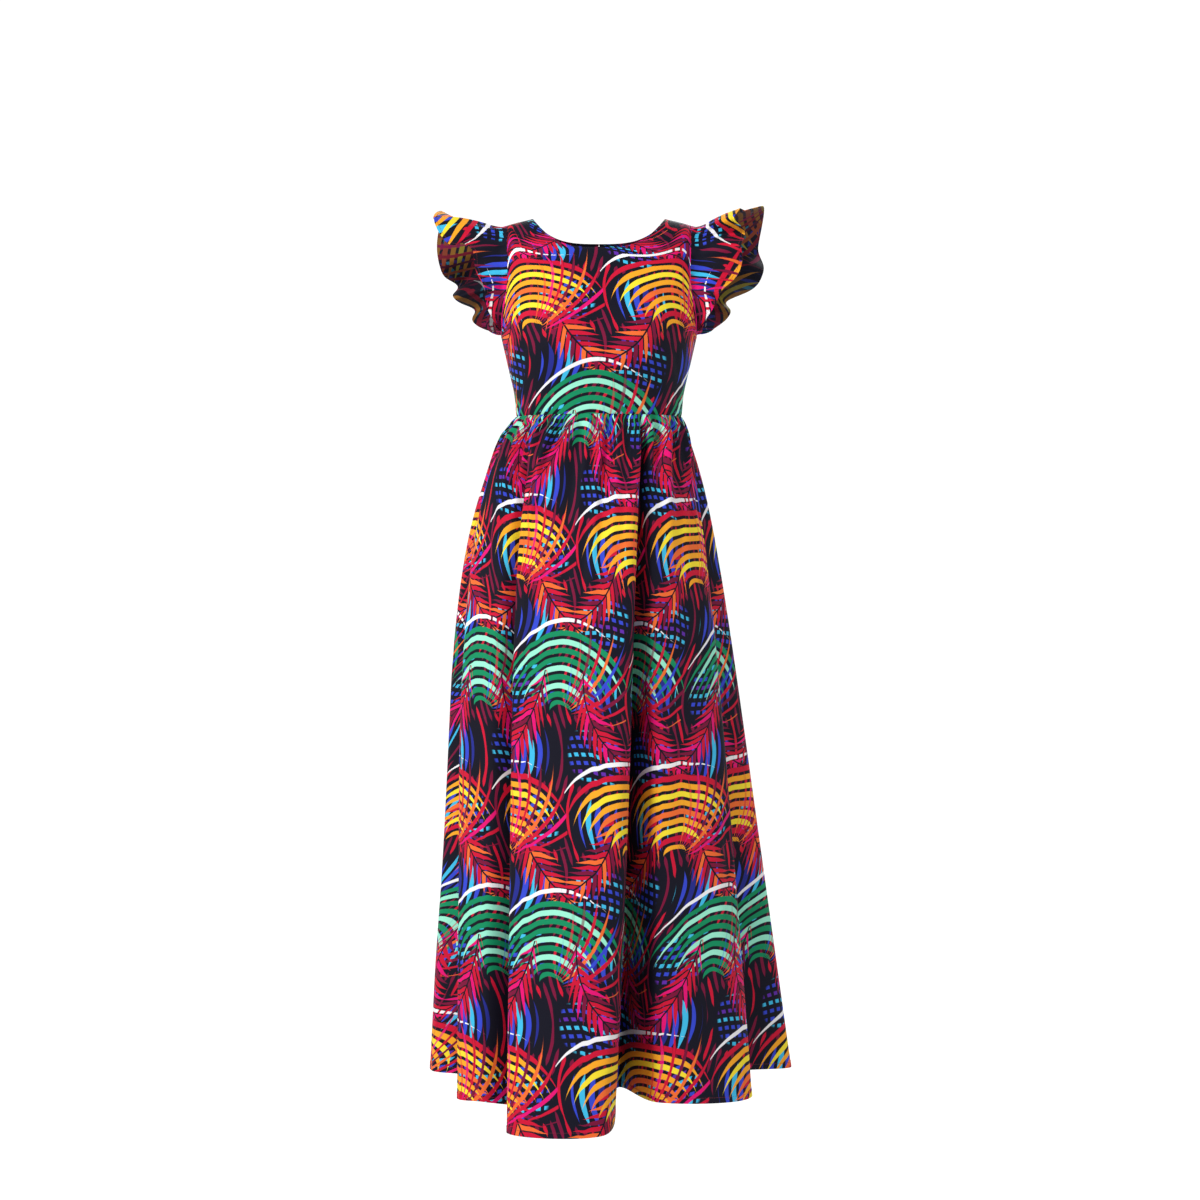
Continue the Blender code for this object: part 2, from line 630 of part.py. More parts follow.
def build_bodice(material):
    """The front, in one piece, and the two halves of the back."""
    halves = [bodice_half(FRONT, side) for side in (LEFT, RIGHT)]
    points = np.concatenate([half[0].reshape(-1, 3) for half in halves])
    normals = np.concatenate([half[1].reshape(-1, 3) for half in halves])
    left = np.arange(halves[0][0][..., 0].size).reshape(halves[0][0].shape[:2])
    right = left + left.size
    centre = BODICE_ROWS["neck"] - 1
    right[0, centre:] = left[0, centre:]
    quads = np.concatenate([grid_quads(left[::-1]), grid_quads(right)])
    kept = np.unique(quads)
    renumbered = np.searchsorted(kept, quads)
    add_shell(
        "bodice_front", points[kept], (points - normals * WALL)[kept], renumbered, material
    )
    for name, side in (("bodice_back_left", LEFT), ("bodice_back_right", RIGHT)):
        half, outward = bodice_half(BACK, side)
        half[0, BODICE_ROWS["neck"] - 1 :, 0] = side * CHANNEL_HALF
        add_cloth(name, half, outward, material)


def build_skirt(material):
    """The front, one cloth width wide, and the back cut in two for the zip."""
    ring = skirt_ring()
    first = 0
    for name, count in COLUMNS.items():
        points, normals = skirt_panel(ring, first, first + count)
        add_cloth("skirt_" + name, points, normals, material)
        first += count


def build_ruffles(material):
    """The two armhole ruffles."""
    for name, side, ribs in (
        ("ruffle_left", LEFT, RUFFLE_LEFT),
        ("ruffle_right", RIGHT, RUFFLE_RIGHT),
    ):
        middle, normals = ruffle(side, ribs)
        add_grid_shell(name, middle + normals * WALL / 2, middle - normals * WALL / 2, material)


def prism(outline, low, high, along="out"):
    """A prism in the slider's own frame: an outline run from low to high, out or across."""
    builder = bmesh.new()
    origin, across, down, out = slider_frame()
    ends = []
    for level in (low, high):
        ring = []
        for a, b in outline:
            x, y, z = (a, b, level) if along == "out" else (level, a, b)
            ring.append(builder.verts.new(origin + across * x + down * y + out * z))
        ends.append(ring)
    bottom, top = ends
    builder.faces.new(bottom)
    builder.faces.new(top)
    for k, start in enumerate(bottom):
        after = (k + 1) % len(bottom)
        builder.faces.new((start, bottom[after], top[after], top[k]))
    return add_object("prism", builder, None)


def circle(centre_along, centre_out, radius):
    """Outline of a circle round the slider's bar."""
    turns = np.linspace(0, 2 * math.pi, ROUND_SIDES, endpoint=False)
    return [(centre_along + radius * math.cos(t), centre_out + radius * math.sin(t)) for t in turns]


def united(name, pieces, cutters, material):
    """One object out of several that overlap, less its cutters."""
    base = pieces[0]
    for piece, operation in [(p, "UNION") for p in pieces[1:]] + [(c, "DIFFERENCE") for c in cutters]:
        modifier = base.modifiers.new("join", "BOOLEAN")
        modifier.object = piece
        modifier.operation = operation
        modifier.solver = "EXACT"
    graph = bpy.context.evaluated_depsgraph_get()
    mesh = bpy.data.meshes.new_from_object(base.evaluated_get(graph))
    builder = bmesh.new()
    builder.from_mesh(mesh)
    for used in [*pieces, *cutters]:
        bpy.data.objects.remove(used)
    return add_object(name, builder, material)


def build_zip(tape_material, metal):
    """The tape with its coil, the slider, and the pull tab."""
    outer, inner = zip_tape()
    add_grid_shell("zip_tape", outer, inner, tape_material)
    half, narrow, end = PLATE["half"], PLATE["waist"], PLATE["half_length"]
    shoulder = PLATE["shoulder"]
    face = SEAM + PLATE["thick"]
    plate = [(-narrow, -end), (narrow, -end), (half, -shoulder), (half, 0), (narrow, end)]
    plate += [(-narrow, end), (-half, 0), (-half, -shoulder)]
    pieces = [prism(plate, SEAM, face)]
    low, high = BAR["along"] - LUG["half_length"], BAR["along"] + LUG["half_length"]
    lug = [(low, face - SEAM), (high, face - SEAM), (high, face + LUG["high"])]
    lug.append((low, face + LUG["high"]))
    pieces.append(prism(lug, LUG["inside"], LUG["outside"], "across"))
    pieces.append(prism(lug, -LUG["outside"], -LUG["inside"], "across"))
    middle = face + BAR["high"]
    bar = circle(BAR["along"], middle, BAR["radius"])
    reach = (LUG["inside"] + LUG["outside"]) / 2
    pieces.append(prism(bar, -reach, reach, "across"))
    united("zip_slider", pieces, [], metal)
    eye = circle(BAR["along"], middle, EYE["radius"])
    hole = circle(BAR["along"], middle, EYE["hole"])
    start = BAR["along"] + EYE["hole"]
    flare_at, foot = BAR["along"] + TAB["flares_at"], BAR["along"] + TAB["length"]
    tab = [(-TAB["top"], start), (TAB["top"], start), (TAB["top"], flare_at)]
    tab += [(TAB["bottom"], foot - TAB["bottom"]), (TAB["top"], foot), (-TAB["top"], foot)]
    tab += [(-TAB["bottom"], foot - TAB["bottom"]), (-TAB["top"], flare_at)]
    pieces = [
        prism(eye, -EYE["half_width"], EYE["half_width"], "across"),
        prism(tab, middle - TAB["half_thick"], middle + TAB["half_thick"]),
    ]
    cutter = prism(hole, -2 * EYE["half_width"], 2 * EYE["half_width"], "across")
    united("zip_pull", pieces, [cutter], metal)


def clear_scene():
    """Removes whatever the scene holds."""
    for thing in list(bpy.data.objects):
        bpy.data.objects.remove(thing)


def main():
    """Builds every piece of the dress."""
    clear_scene()
    print_cloth = cloth_material("print_cotton", (0.05, 0.04, 0.12))
    build_bodice(print_cloth)
    build_skirt(print_cloth)
    build_ruffles(print_cloth)
    tape = cloth_material("zip_tape", (0.02, 0.02, 0.04))
    metal = cloth_material("slider_metal", (0.05, 0.05, 0.09), roughness=0.35, metallic=0.5)
    build_zip(tape, metal)


main()
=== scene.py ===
"""Printed cotton maxi dress with armhole ruffles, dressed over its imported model.

Metres, +Z up, the front faces -Y and the wearer's left side is +X.  Each cloth piece is a fine
shell on its solid's own form, with creases, seams, stitching and a printed finish.
"""

import logging
import math
from dataclasses import dataclass, field
from enum import Enum
from functools import partialmethod
from typing import NamedTuple, Sequence, Union

import bmesh
import bpy
import numpy as np
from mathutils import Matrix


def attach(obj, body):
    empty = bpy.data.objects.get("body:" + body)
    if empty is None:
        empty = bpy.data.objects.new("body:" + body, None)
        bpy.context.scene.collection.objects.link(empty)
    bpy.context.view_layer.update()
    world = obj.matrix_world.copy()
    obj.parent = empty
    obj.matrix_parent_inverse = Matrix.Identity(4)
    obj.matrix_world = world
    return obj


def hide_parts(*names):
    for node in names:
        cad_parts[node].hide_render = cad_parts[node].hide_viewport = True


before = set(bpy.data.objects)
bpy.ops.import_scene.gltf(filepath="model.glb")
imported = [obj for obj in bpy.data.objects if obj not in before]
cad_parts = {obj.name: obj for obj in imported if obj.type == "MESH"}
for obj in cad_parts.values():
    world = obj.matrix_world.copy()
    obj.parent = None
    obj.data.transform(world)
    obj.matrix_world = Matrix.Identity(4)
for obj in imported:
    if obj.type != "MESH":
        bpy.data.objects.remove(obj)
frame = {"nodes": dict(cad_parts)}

logging.basicConfig(level=logging.INFO, format="%(message)s")
LOG = logging.getLogger("dress")

Array = np.ndarray
Colour = tuple[float, float, float]
Number = Union[float, "Field"]
Ramp = tuple[float, float]
Place = tuple["Field", "Field"]
Object, Material = bpy.types.Object, bpy.types.Material
Tree, Socket = bpy.types.NodeTree, bpy.types.NodeSocket

# ---- shared sizes
WAIST_Z = -0.307
HEM_Z = -1.404
CLOTH = 0.0008  # thickness of the printed cotton with its turned edges
SEAM = 0.0003  # clearance between two solids at a seam
SEAM_DEEP = 0.0011  # how far a seam draws the cloth in
SEAM_WIDE = 0.0030  # within what distance of it
CHANNEL_HALF = 0.0013  # half the gap in the back through which the zip shows
ZIP_STITCH = 0.0065  # from the centre back to the stitches beside the zip
STITCH_LIFT = 0.00012  # how far stitches lie off the cloth
TURN_UP = 0.002  # width over which a hem rises to its turned-up part
SHARP_ANGLE = 60  # degrees past which an edge of the cloth is shaded sharp
UV_NAME = "cloth"
NO_LENGTH = 1e-12  # put in place of a length of nothing
SAME_PLACE = 1e-6  # points nearer than this are one
CENT, MILLI, TENTH_MILLI = 100, 1000, 10000  # parts in which tables are written


class Face(Enum):
    """The front or the back of the dress, as the sign of y."""

    FRONT = -1.0
    BACK = 1.0


class Side(Enum):
    """The side of the dress as seen from the front, as the sign of x."""

    LEFT = -1.0
    RIGHT = 1.0


# ---- curves


def through(places: Sequence[float], values: Array, wanted: Array) -> Array:
    """Smooth curve through values at increasing places.

    Args:
        places: Where the values are given, in increasing order.
        values: The values, which may have columns.
        wanted: Where the curve is read.

    Returns:
        The curve's values at the wanted places.
    """
    places = np.asarray(places, float)
    values = np.asarray(values, float)
    wanted = np.asarray(wanted, float)
    steps = np.diff(places)
    tail = (1,) * (values.ndim - 1)
    chords = np.diff(values, axis=0) / steps.reshape((-1,) + tail)
    slopes = np.empty_like(values)
    before, after = steps[:-1].reshape((-1,) + tail), steps[1:].reshape((-1,) + tail)
    slopes[1:-1] = (chords[:-1] * after + chords[1:] * before) / (before + after)
    slopes[0], slopes[-1] = chords[0], chords[-1]
    cell = np.clip(np.searchsorted(places, wanted, side="right") - 1, 0, len(steps) - 1)
    share = ((wanted - places[cell]) / steps[cell]).reshape(wanted.shape + tail)
    width = steps[cell].reshape(wanted.shape + tail)
    first, last = values[cell], values[cell + 1]
    return (
        first * (1 + 2 * share) * (1 - share) ** 2
        + slopes[cell] * width * share * (1 - share) ** 2
        + last * share**2 * (3 - 2 * share)
        + slopes[cell + 1] * width * share**2 * (share - 1)
    )


def round_through(places: Array, values: Array, wanted: Array) -> Array:
    """The same for a closed curve whose places run once round from 0 to 1.

    Args:
        places: Where the values are given, from 0 to 1.
        values: The values, which may have columns.
        wanted: Where the curve is read, in turns.

    Returns:
        The curve's values at the wanted places.
    """
    three_turns = np.concatenate([places - 1, places, places + 1])
    return through(three_turns, np.concatenate([values] * 3), np.mod(wanted, 1.0))


def unit(vectors: Array) -> Array:
    """Vectors scaled to length 1."""
    return vectors / np.maximum(np.linalg.norm(vectors, axis=-1, keepdims=True), NO_LENGTH)


def rows_of(kind: type, parts: Sequence[int], rows: Sequence[tuple]) -> tuple:
    """Rows of a table whose columns are written in whole parts of a metre, share or degree."""
    return tuple(kind(*(value / part for value, part in zip(row, parts))) for row in rows)


def table_column(table: Sequence[NamedTuple], name: str) -> list[float]:
    """One named column of a table of rows."""
    return [getattr(row, name) for row in table]


def smooth(low: float, high: float, value: Array) -> Array:
    """Smooth step from 0 at low to 1 at high."""
    share = np.clip((value - low) / (high - low), 0, 1)
    return share * share * (3 - 2 * share)


def run_lengths(points: Array, axis: int) -> Array:
    """Lengths run along one axis of a grid of points, from 0 at its start."""
    steps = np.linalg.norm(np.diff(points, axis=axis), axis=-1)
    pad = [(int(way == axis), 0) for way in (0, 1)]
    return np.cumsum(np.pad(steps, pad), axis=axis)


def places_along(runs: Array, points: Array, wanted: Union[float, Array]) -> Array:
    """The point in each row of a grid at which the row's run is as wanted."""
    rows = zip(np.broadcast_to(wanted, len(runs)), runs, points)
    line = [[np.interp(at, run, row[:, axis]) for axis in range(3)] for at, run, row in rows]
    return np.array(line)


def grid_normals(grid: Array) -> Array:
    """Normals of a grid whose first axis turns to the right and second runs down."""
    return unit(np.cross(np.gradient(grid, axis=1), np.gradient(grid, axis=0)))


# ---- creases

STRAY = 0.3  # share of its width by which a crease strays from its line
STRAY_TURNS = 5.0  # how fast it strays to and fro, in radians along it
STRAY_START = 1.7  # how much later each crease begins than the one before


class Crease(NamedTuple):
    """A soft ridge or trough between two places on the flat cloth.

    across and down are where it starts, to_across and to_down where it ends, in metres; out is
    its height, below 0 for a trough; width is half its breadth, and full how far along it is
    deepest, as a share.
    """

    across: float
    down: float
    to_across: float
    to_down: float
    out: float
    width: float
    full: float


CREASE_PARTS = (MILLI, MILLI, MILLI, MILLI, TENTH_MILLI, TENTH_MILLI, CENT)


def crease_height(creases: Sequence[Crease], across: Array, down: Array) -> Array:
    """How far creases lift or sink a cloth.

    Args:
        creases: The listed creases.
        across: Place of each point across the flat cloth.
        down: Place of each point down the flat cloth.

    Returns:
        The height off the plain surface at each point.
    """
    height = np.zeros_like(across)
    for number, crease in enumerate(creases):
        run_across, run_down = crease.to_across - crease.across, crease.to_down - crease.down
        length = math.hypot(run_across, run_down)
        part_across, part_down = across - crease.across, down - crease.down
        along = (part_across * run_across + part_down * run_down) / length**2
        aside = (part_across * run_down - part_down * run_across) / length
        aside = aside + STRAY * crease.width * np.sin(STRAY_TURNS * along + STRAY_START * number)
        fades = smooth(0, crease.full, along) * smooth(1, crease.full, along)
        height += crease.out * fades * np.exp(-((aside / crease.width) ** 2))
    return height


def dip(distance: Array) -> Array:
    """How far a seam draws the cloth in at a distance from it."""
    return -SEAM_DEEP * np.exp(-((distance / SEAM_WIDE) ** 2))


# ---- meshes


def shown(name: str, data: bpy.types.ID) -> Object:
    """A new object in the scene, with its mesh, camera or light."""
    made = bpy.data.objects.new(name, data)
    bpy.context.scene.collection.objects.link(made)
    return made


def grid_quads(numbers: Array) -> Array:
    """Corner numbers of the quads of a grid of point numbers, in order round each quad."""
    corners = (numbers[:-1, :-1], numbers[:-1, 1:], numbers[1:, 1:], numbers[1:, :-1])
    return np.stack([corner.ravel() for corner in corners], axis=1)


def rim_edges(quads: Array) -> Array:
    """Edges that only one quad uses.

    Args:
        quads: Corner numbers of the quads.

    Returns:
        The two ends of each edge, in the direction in which its quad runs along it.
    """
    starts = quads.ravel()
    ends = np.roll(quads, -1, axis=1).ravel()
    count = int(quads.max()) + 1
    keys = starts.astype(np.int64) * count + ends
    reverse = ends.astype(np.int64) * count + starts
    alone = ~np.isin(reverse, keys)
    return np.stack([starts[alone], ends[alone]], axis=1)


@dataclass
class ClothGrid:
    """A grid of points on one cloth: its outer points, normals and place on the flat cloth."""

    points: Array
    normals: Array
    flat: Array
    mirrored: bool = False  # whether its quads run the other way

    def raised(self, height: Array) -> "ClothGrid":
        """The same cloth with its points moved out along its normals."""
        points = self.points + self.normals * height[..., None]
        return ClothGrid(points, self.normals, self.flat, self.mirrored)

    def stitched(self) -> Array:
        """Its points, lifted to where stitches lie."""
        return self.points + self.normals * STITCH_LIFT


def cloth_mesh(name: str, points: Array, faces: Array, flat: Array, parts: Array) -> Object:
    """A smooth mesh object from points and faces.

    Args:
        name: Name of the object.
        points: Its points, one row each.
        faces: Point numbers of its faces.
        flat: Place of each point on the flat cloth, for the UV map.
        parts: Material number of each face.

    Returns:
        The object, linked to the scene.
    """
    mesh = bpy.data.meshes.new(name)
    mesh.from_pydata(points.tolist(), [], faces.tolist())
    layer = mesh.uv_layers.new(name=UV_NAME)
    corners = np.empty(len(mesh.loops), np.int32)
    mesh.loops.foreach_get("vertex_index", corners)
    layer.data.foreach_set("uv", flat[corners].astype(np.float32).ravel())
    mesh.polygons.foreach_set("material_index", parts.astype(np.int32))
    mesh.shade_smooth()
    mesh.set_sharp_from_angle(angle=math.radians(SHARP_ANGLE))
    return shown(name, mesh)


def joined_middle(points: Array, faces: Array) -> Array:
    """The faces with points that lie in one place made one point."""
    keys = np.round(points / SAME_PLACE).astype(np.int64)
    _, first, again = np.unique(keys, axis=0, return_index=True, return_inverse=True)
    return first[again.ravel()][faces]


def cloth_shell(name: str, grids: Sequence[ClothGrid]) -> Object:
    """A thin closed cloth out of one grid, or of two that share their first columns.

    Args:
        name: Name of the object.
        grids: One or two grids of points.

    Returns:
        The object, whose outer and inner faces have materials 0 and 1.
    """
    outer, inner, flat, quads = [], [], [], []
    start = 0
    for grid in grids:
        numbers = start + np.arange(grid.points[..., 0].size).reshape(grid.points.shape[:2])
        quads.append(grid_quads(numbers[::-1] if grid.mirrored else numbers))
        outer.append(grid.points.reshape(-1, 3))
        inner.append((grid.points - grid.normals * CLOTH).reshape(-1, 3))
        flat.append(grid.flat.reshape(-1, 2))
        start += numbers.size
    points = np.concatenate(outer)
    faces = np.concatenate(quads)
    if len(grids) == 2:
        faces = joined_middle(points, faces)
    rim = rim_edges(faces)
    count = len(points)
    walls = np.stack([rim[:, 1], rim[:, 0], rim[:, 0] + count, rim[:, 1] + count], axis=1)
    everything = np.concatenate([faces, faces[:, ::-1] + count, walls])
    both = np.concatenate([points, *inner])
    places = np.concatenate(flat * 2)
    used, again = np.unique(everything, return_inverse=True)
    parts = np.zeros(len(everything), int)
    parts[len(faces) : 2 * len(faces)] = 1
    return cloth_mesh(name, both[used], again.reshape(everything.shape), places[used], parts)


# ---- nodes


def new_node(tree: Tree, kind: str, values: dict, **settings: str) -> bpy.types.Node:
    """A new node with its inputs filled.

    Args:
        tree: The tree that it goes into.
        kind: Its type.
        values: Number, socket, field or paint for each input, by name or number.
        settings: The node's own settings.

    Returns:
        The node.
    """
    node = tree.nodes.new(kind)
    for name, value in settings.items():
        setattr(node, name, value)
    for name, value in values.items():
        source = getattr(value, "socket", value)
        if isinstance(source, Socket):
            tree.links.new(source, node.inputs[name])
        else:
            node.inputs[name].default_value = source
    return node


@dataclass(frozen=True)
class Held:
    """An output socket and the node tree that it is in."""

    tree: Tree
    socket: Socket


class Field(Held):
    """A number that varies over a surface."""

    def joined(self, operation: str, *others: Number) -> "Field":
        """This field and others through one Math node."""
        values = dict(enumerate((self, *others)))
        node = new_node(self.tree, "ShaderNodeMath", values, operation=operation)
        return Field(self.tree, node.outputs[0])

    # each of these is one Math node with that operation
    __add__ = partialmethod(joined, "ADD")
    __sub__ = partialmethod(joined, "SUBTRACT")
    __mul__ = partialmethod(joined, "MULTIPLY")
    __truediv__ = partialmethod(joined, "DIVIDE")
    power = partialmethod(joined, "POWER")
    root = partialmethod(joined, "SQRT")
    floor = partialmethod(joined, "FLOOR")
    absolute = partialmethod(joined, "ABSOLUTE")
    sine = partialmethod(joined, "SINE")
    smaller = partialmethod(joined, "MINIMUM")
    turn_from = partialmethod(joined, "ARCTAN2")
    to_and_fro = partialmethod(joined, "PINGPONG")

    def less_from(self, whole: float) -> "Field":
        """A whole number less this field."""
        return self * -1.0 + whole

    def fraction(self) -> "Field":
        """Part after the point, from 0 to 1 below 0 as well."""
        return self - self.floor()

    def length_with(self, other: "Field") -> "Field":
        """Length of the vector of two fields."""
        return (self * self + other * other).root()

    def step(self, low: float, high: float) -> "Field":
        """Smooth step between two values, of which either may be the larger.

        Args:
            low: Where it is 0.
            high: Where it is 1.

        Returns:
            The step.
        """
        ends = {"From Min": min(low, high), "From Max": max(low, high)}
        values = {"Value": self, **ends, "To Min": float(low > high), "To Max": float(low <= high)}
        kind = "ShaderNodeMapRange"
        node = new_node(self.tree, kind, values, interpolation_type="SMOOTHSTEP")
        return Field(self.tree, node.outputs["Result"])


class Paint(Held):
    """A colour that varies over a surface, which further colours are laid on."""

    @staticmethod
    def plain(tree: Tree, colour: Colour) -> "Paint":
        """One colour all over."""
        node = new_node(tree, "ShaderNodeRGB", {})
        node.outputs[0].default_value = (*colour, 1)
        return Paint(tree, node.outputs[0])

    @staticmethod
    def striped(value: Field, colours: Sequence[Colour]) -> "Paint":
        """Bands of colour, over and over.

        Args:
            value: Each whole number of it is one band.
            colours: The bands' colours in order.

        Returns:
            The paint.
        """
        count = len(colours)
        share = ((value.floor() + 0.5) / count).fraction()
        node = new_node(value.tree, "ShaderNodeValToRGB", {0: share})
        node.color_ramp.interpolation = "CONSTANT"
        entries = node.color_ramp.elements
        while len(entries) < count:
            entries.new(1.0)
        for number, colour in enumerate(colours):
            entries[number].position = number / count
            entries[number].color = (*colour, 1)
        return Paint(value.tree, node.outputs[0])

    def under(self, top: Union["Paint", Colour], cover: Field) -> "Paint":
        """This paint with another laid on it.

        Args:
            top: The paint or the plain colour laid on.
            cover: How far it covers, from 0 to 1.

        Returns:
            The two together.
        """
        laid = top if isinstance(top, Paint) else Paint.plain(self.tree, top)
        values = {"Factor": cover, 6: self, 7: laid}
        node = new_node(self.tree, "ShaderNodeMix", values, data_type="RGBA")
        return Paint(self.tree, node.outputs[2])


class Finish:
    """A new material with its shader, on Object coordinates or on the cloth's own UV map."""

    def __init__(self, name: str, on_cloth: bool = False) -> None:
        """Starts the material.

        Args:
            name: Its name.
            on_cloth: Whether it is laid on the cloth's own UV map.
        """
        self.on_cloth = on_cloth
        self.made = bpy.data.materials.new(name)
        self.made.use_nodes = True
        self.tree = self.made.node_tree

    @property
    def places(self) -> Socket:
        """Place of a point on the flat cloth, or in the object."""
        if self.on_cloth:
            return new_node(self.tree, "ShaderNodeUVMap", {}, uv_map=UV_NAME).outputs["UV"]
        return new_node(self.tree, "ShaderNodeTexCoord", {}).outputs["Object"]

    def noise(self, scale: float, detail: float) -> Field:
        """Soft unevenness at a scale and in some detail."""
        values = {"Vector": self.places, "Scale": scale, "Detail": detail}
        return Field(self.tree, new_node(self.tree, "ShaderNodeTexNoise", values).outputs["Fac"])

    def bump(self, height: Field, strength: float, distance: float) -> Socket:
        """Normals of a bumpy surface."""
        values = {"Height": height, "Strength": strength, "Distance": distance}
        return new_node(self.tree, "ShaderNodeBump", values).outputs["Normal"]

    def finished(self, values: dict) -> Material:
        """The material with its shader's inputs filled.

        Args:
            values: Number, socket, field or paint for each input's name.

        Returns:
            The material.
        """
        shader = self.tree.nodes["Principled BSDF"]
        for name, value in values.items():
            if isinstance(value, float):
                shader.inputs[name].default_value = value
            else:
                self.tree.links.new(getattr(value, "socket", value), shader.inputs[name])
        return self.made


# ---- colours and the print

INK_STRENGTH = 0.80  # share of the light that the strongest ink sends back


def linear(red: int, green: int, blue: int) -> Colour:
    """A display colour of 0 to 255 as the linear colour that a shader reads."""
    return tuple(
        INK_STRENGTH * ((c / 255 / 12.92) if c <= 10 else ((c / 255 + 0.055) / 1.055) ** 2.4)
        for c in (red, green, blue)
    )


GROUND = linear(12, 11, 28)
CRIMSON = linear(208, 10, 52)
WINE = linear(124, 10, 56)
ORANGE = linear(247, 112, 48)
AMBER = linear(255, 172, 36)
LEMON = linear(255, 230, 50)
MAGENTA = linear(232, 4, 116)
EMERALD = linear(8, 142, 94)
MINT = linear(158, 242, 212)
COBALT = linear(52, 72, 208)
SKY = linear(64, 192, 236)
DEEP_BLUE = linear(34, 42, 140)
VIOLET = linear(98, 42, 170)
CHALK = linear(250, 248, 250)
SOIL = linear(10, 10, 20)


class Shell(NamedTuple):
    """Colours of a shell motif: its arcs from the middle out, its blades, and the leaves by it."""

    arcs: tuple[Colour, ...]
    blades: tuple[Colour, ...]
    leaves: tuple[Colour, ...]


WARM = Shell(
    (LEMON, AMBER, CRIMSON, LEMON, AMBER, ORANGE, AMBER, LEMON, AMBER, CRIMSON, MAGENTA),
    (CRIMSON, WINE, ORANGE, CRIMSON, MAGENTA),
    (CRIMSON, WINE, MAGENTA, CRIMSON),
)
COOL = Shell(
    (MINT, EMERALD, EMERALD, MINT, EMERALD, MINT, EMERALD, EMERALD, MINT, EMERALD, MINT),
    (CRIMSON, ORANGE, COBALT, CRIMSON, WINE),
    (CRIMSON, ORANGE, CRIMSON, WINE),
)
BLUE_BARS = (COBALT, DEEP_BLUE, COBALT, SKY)
RED_BARS = (WINE, CRIMSON, WINE)
DASHES = (COBALT, SKY, COBALT, VIOLET, SKY, COBALT)


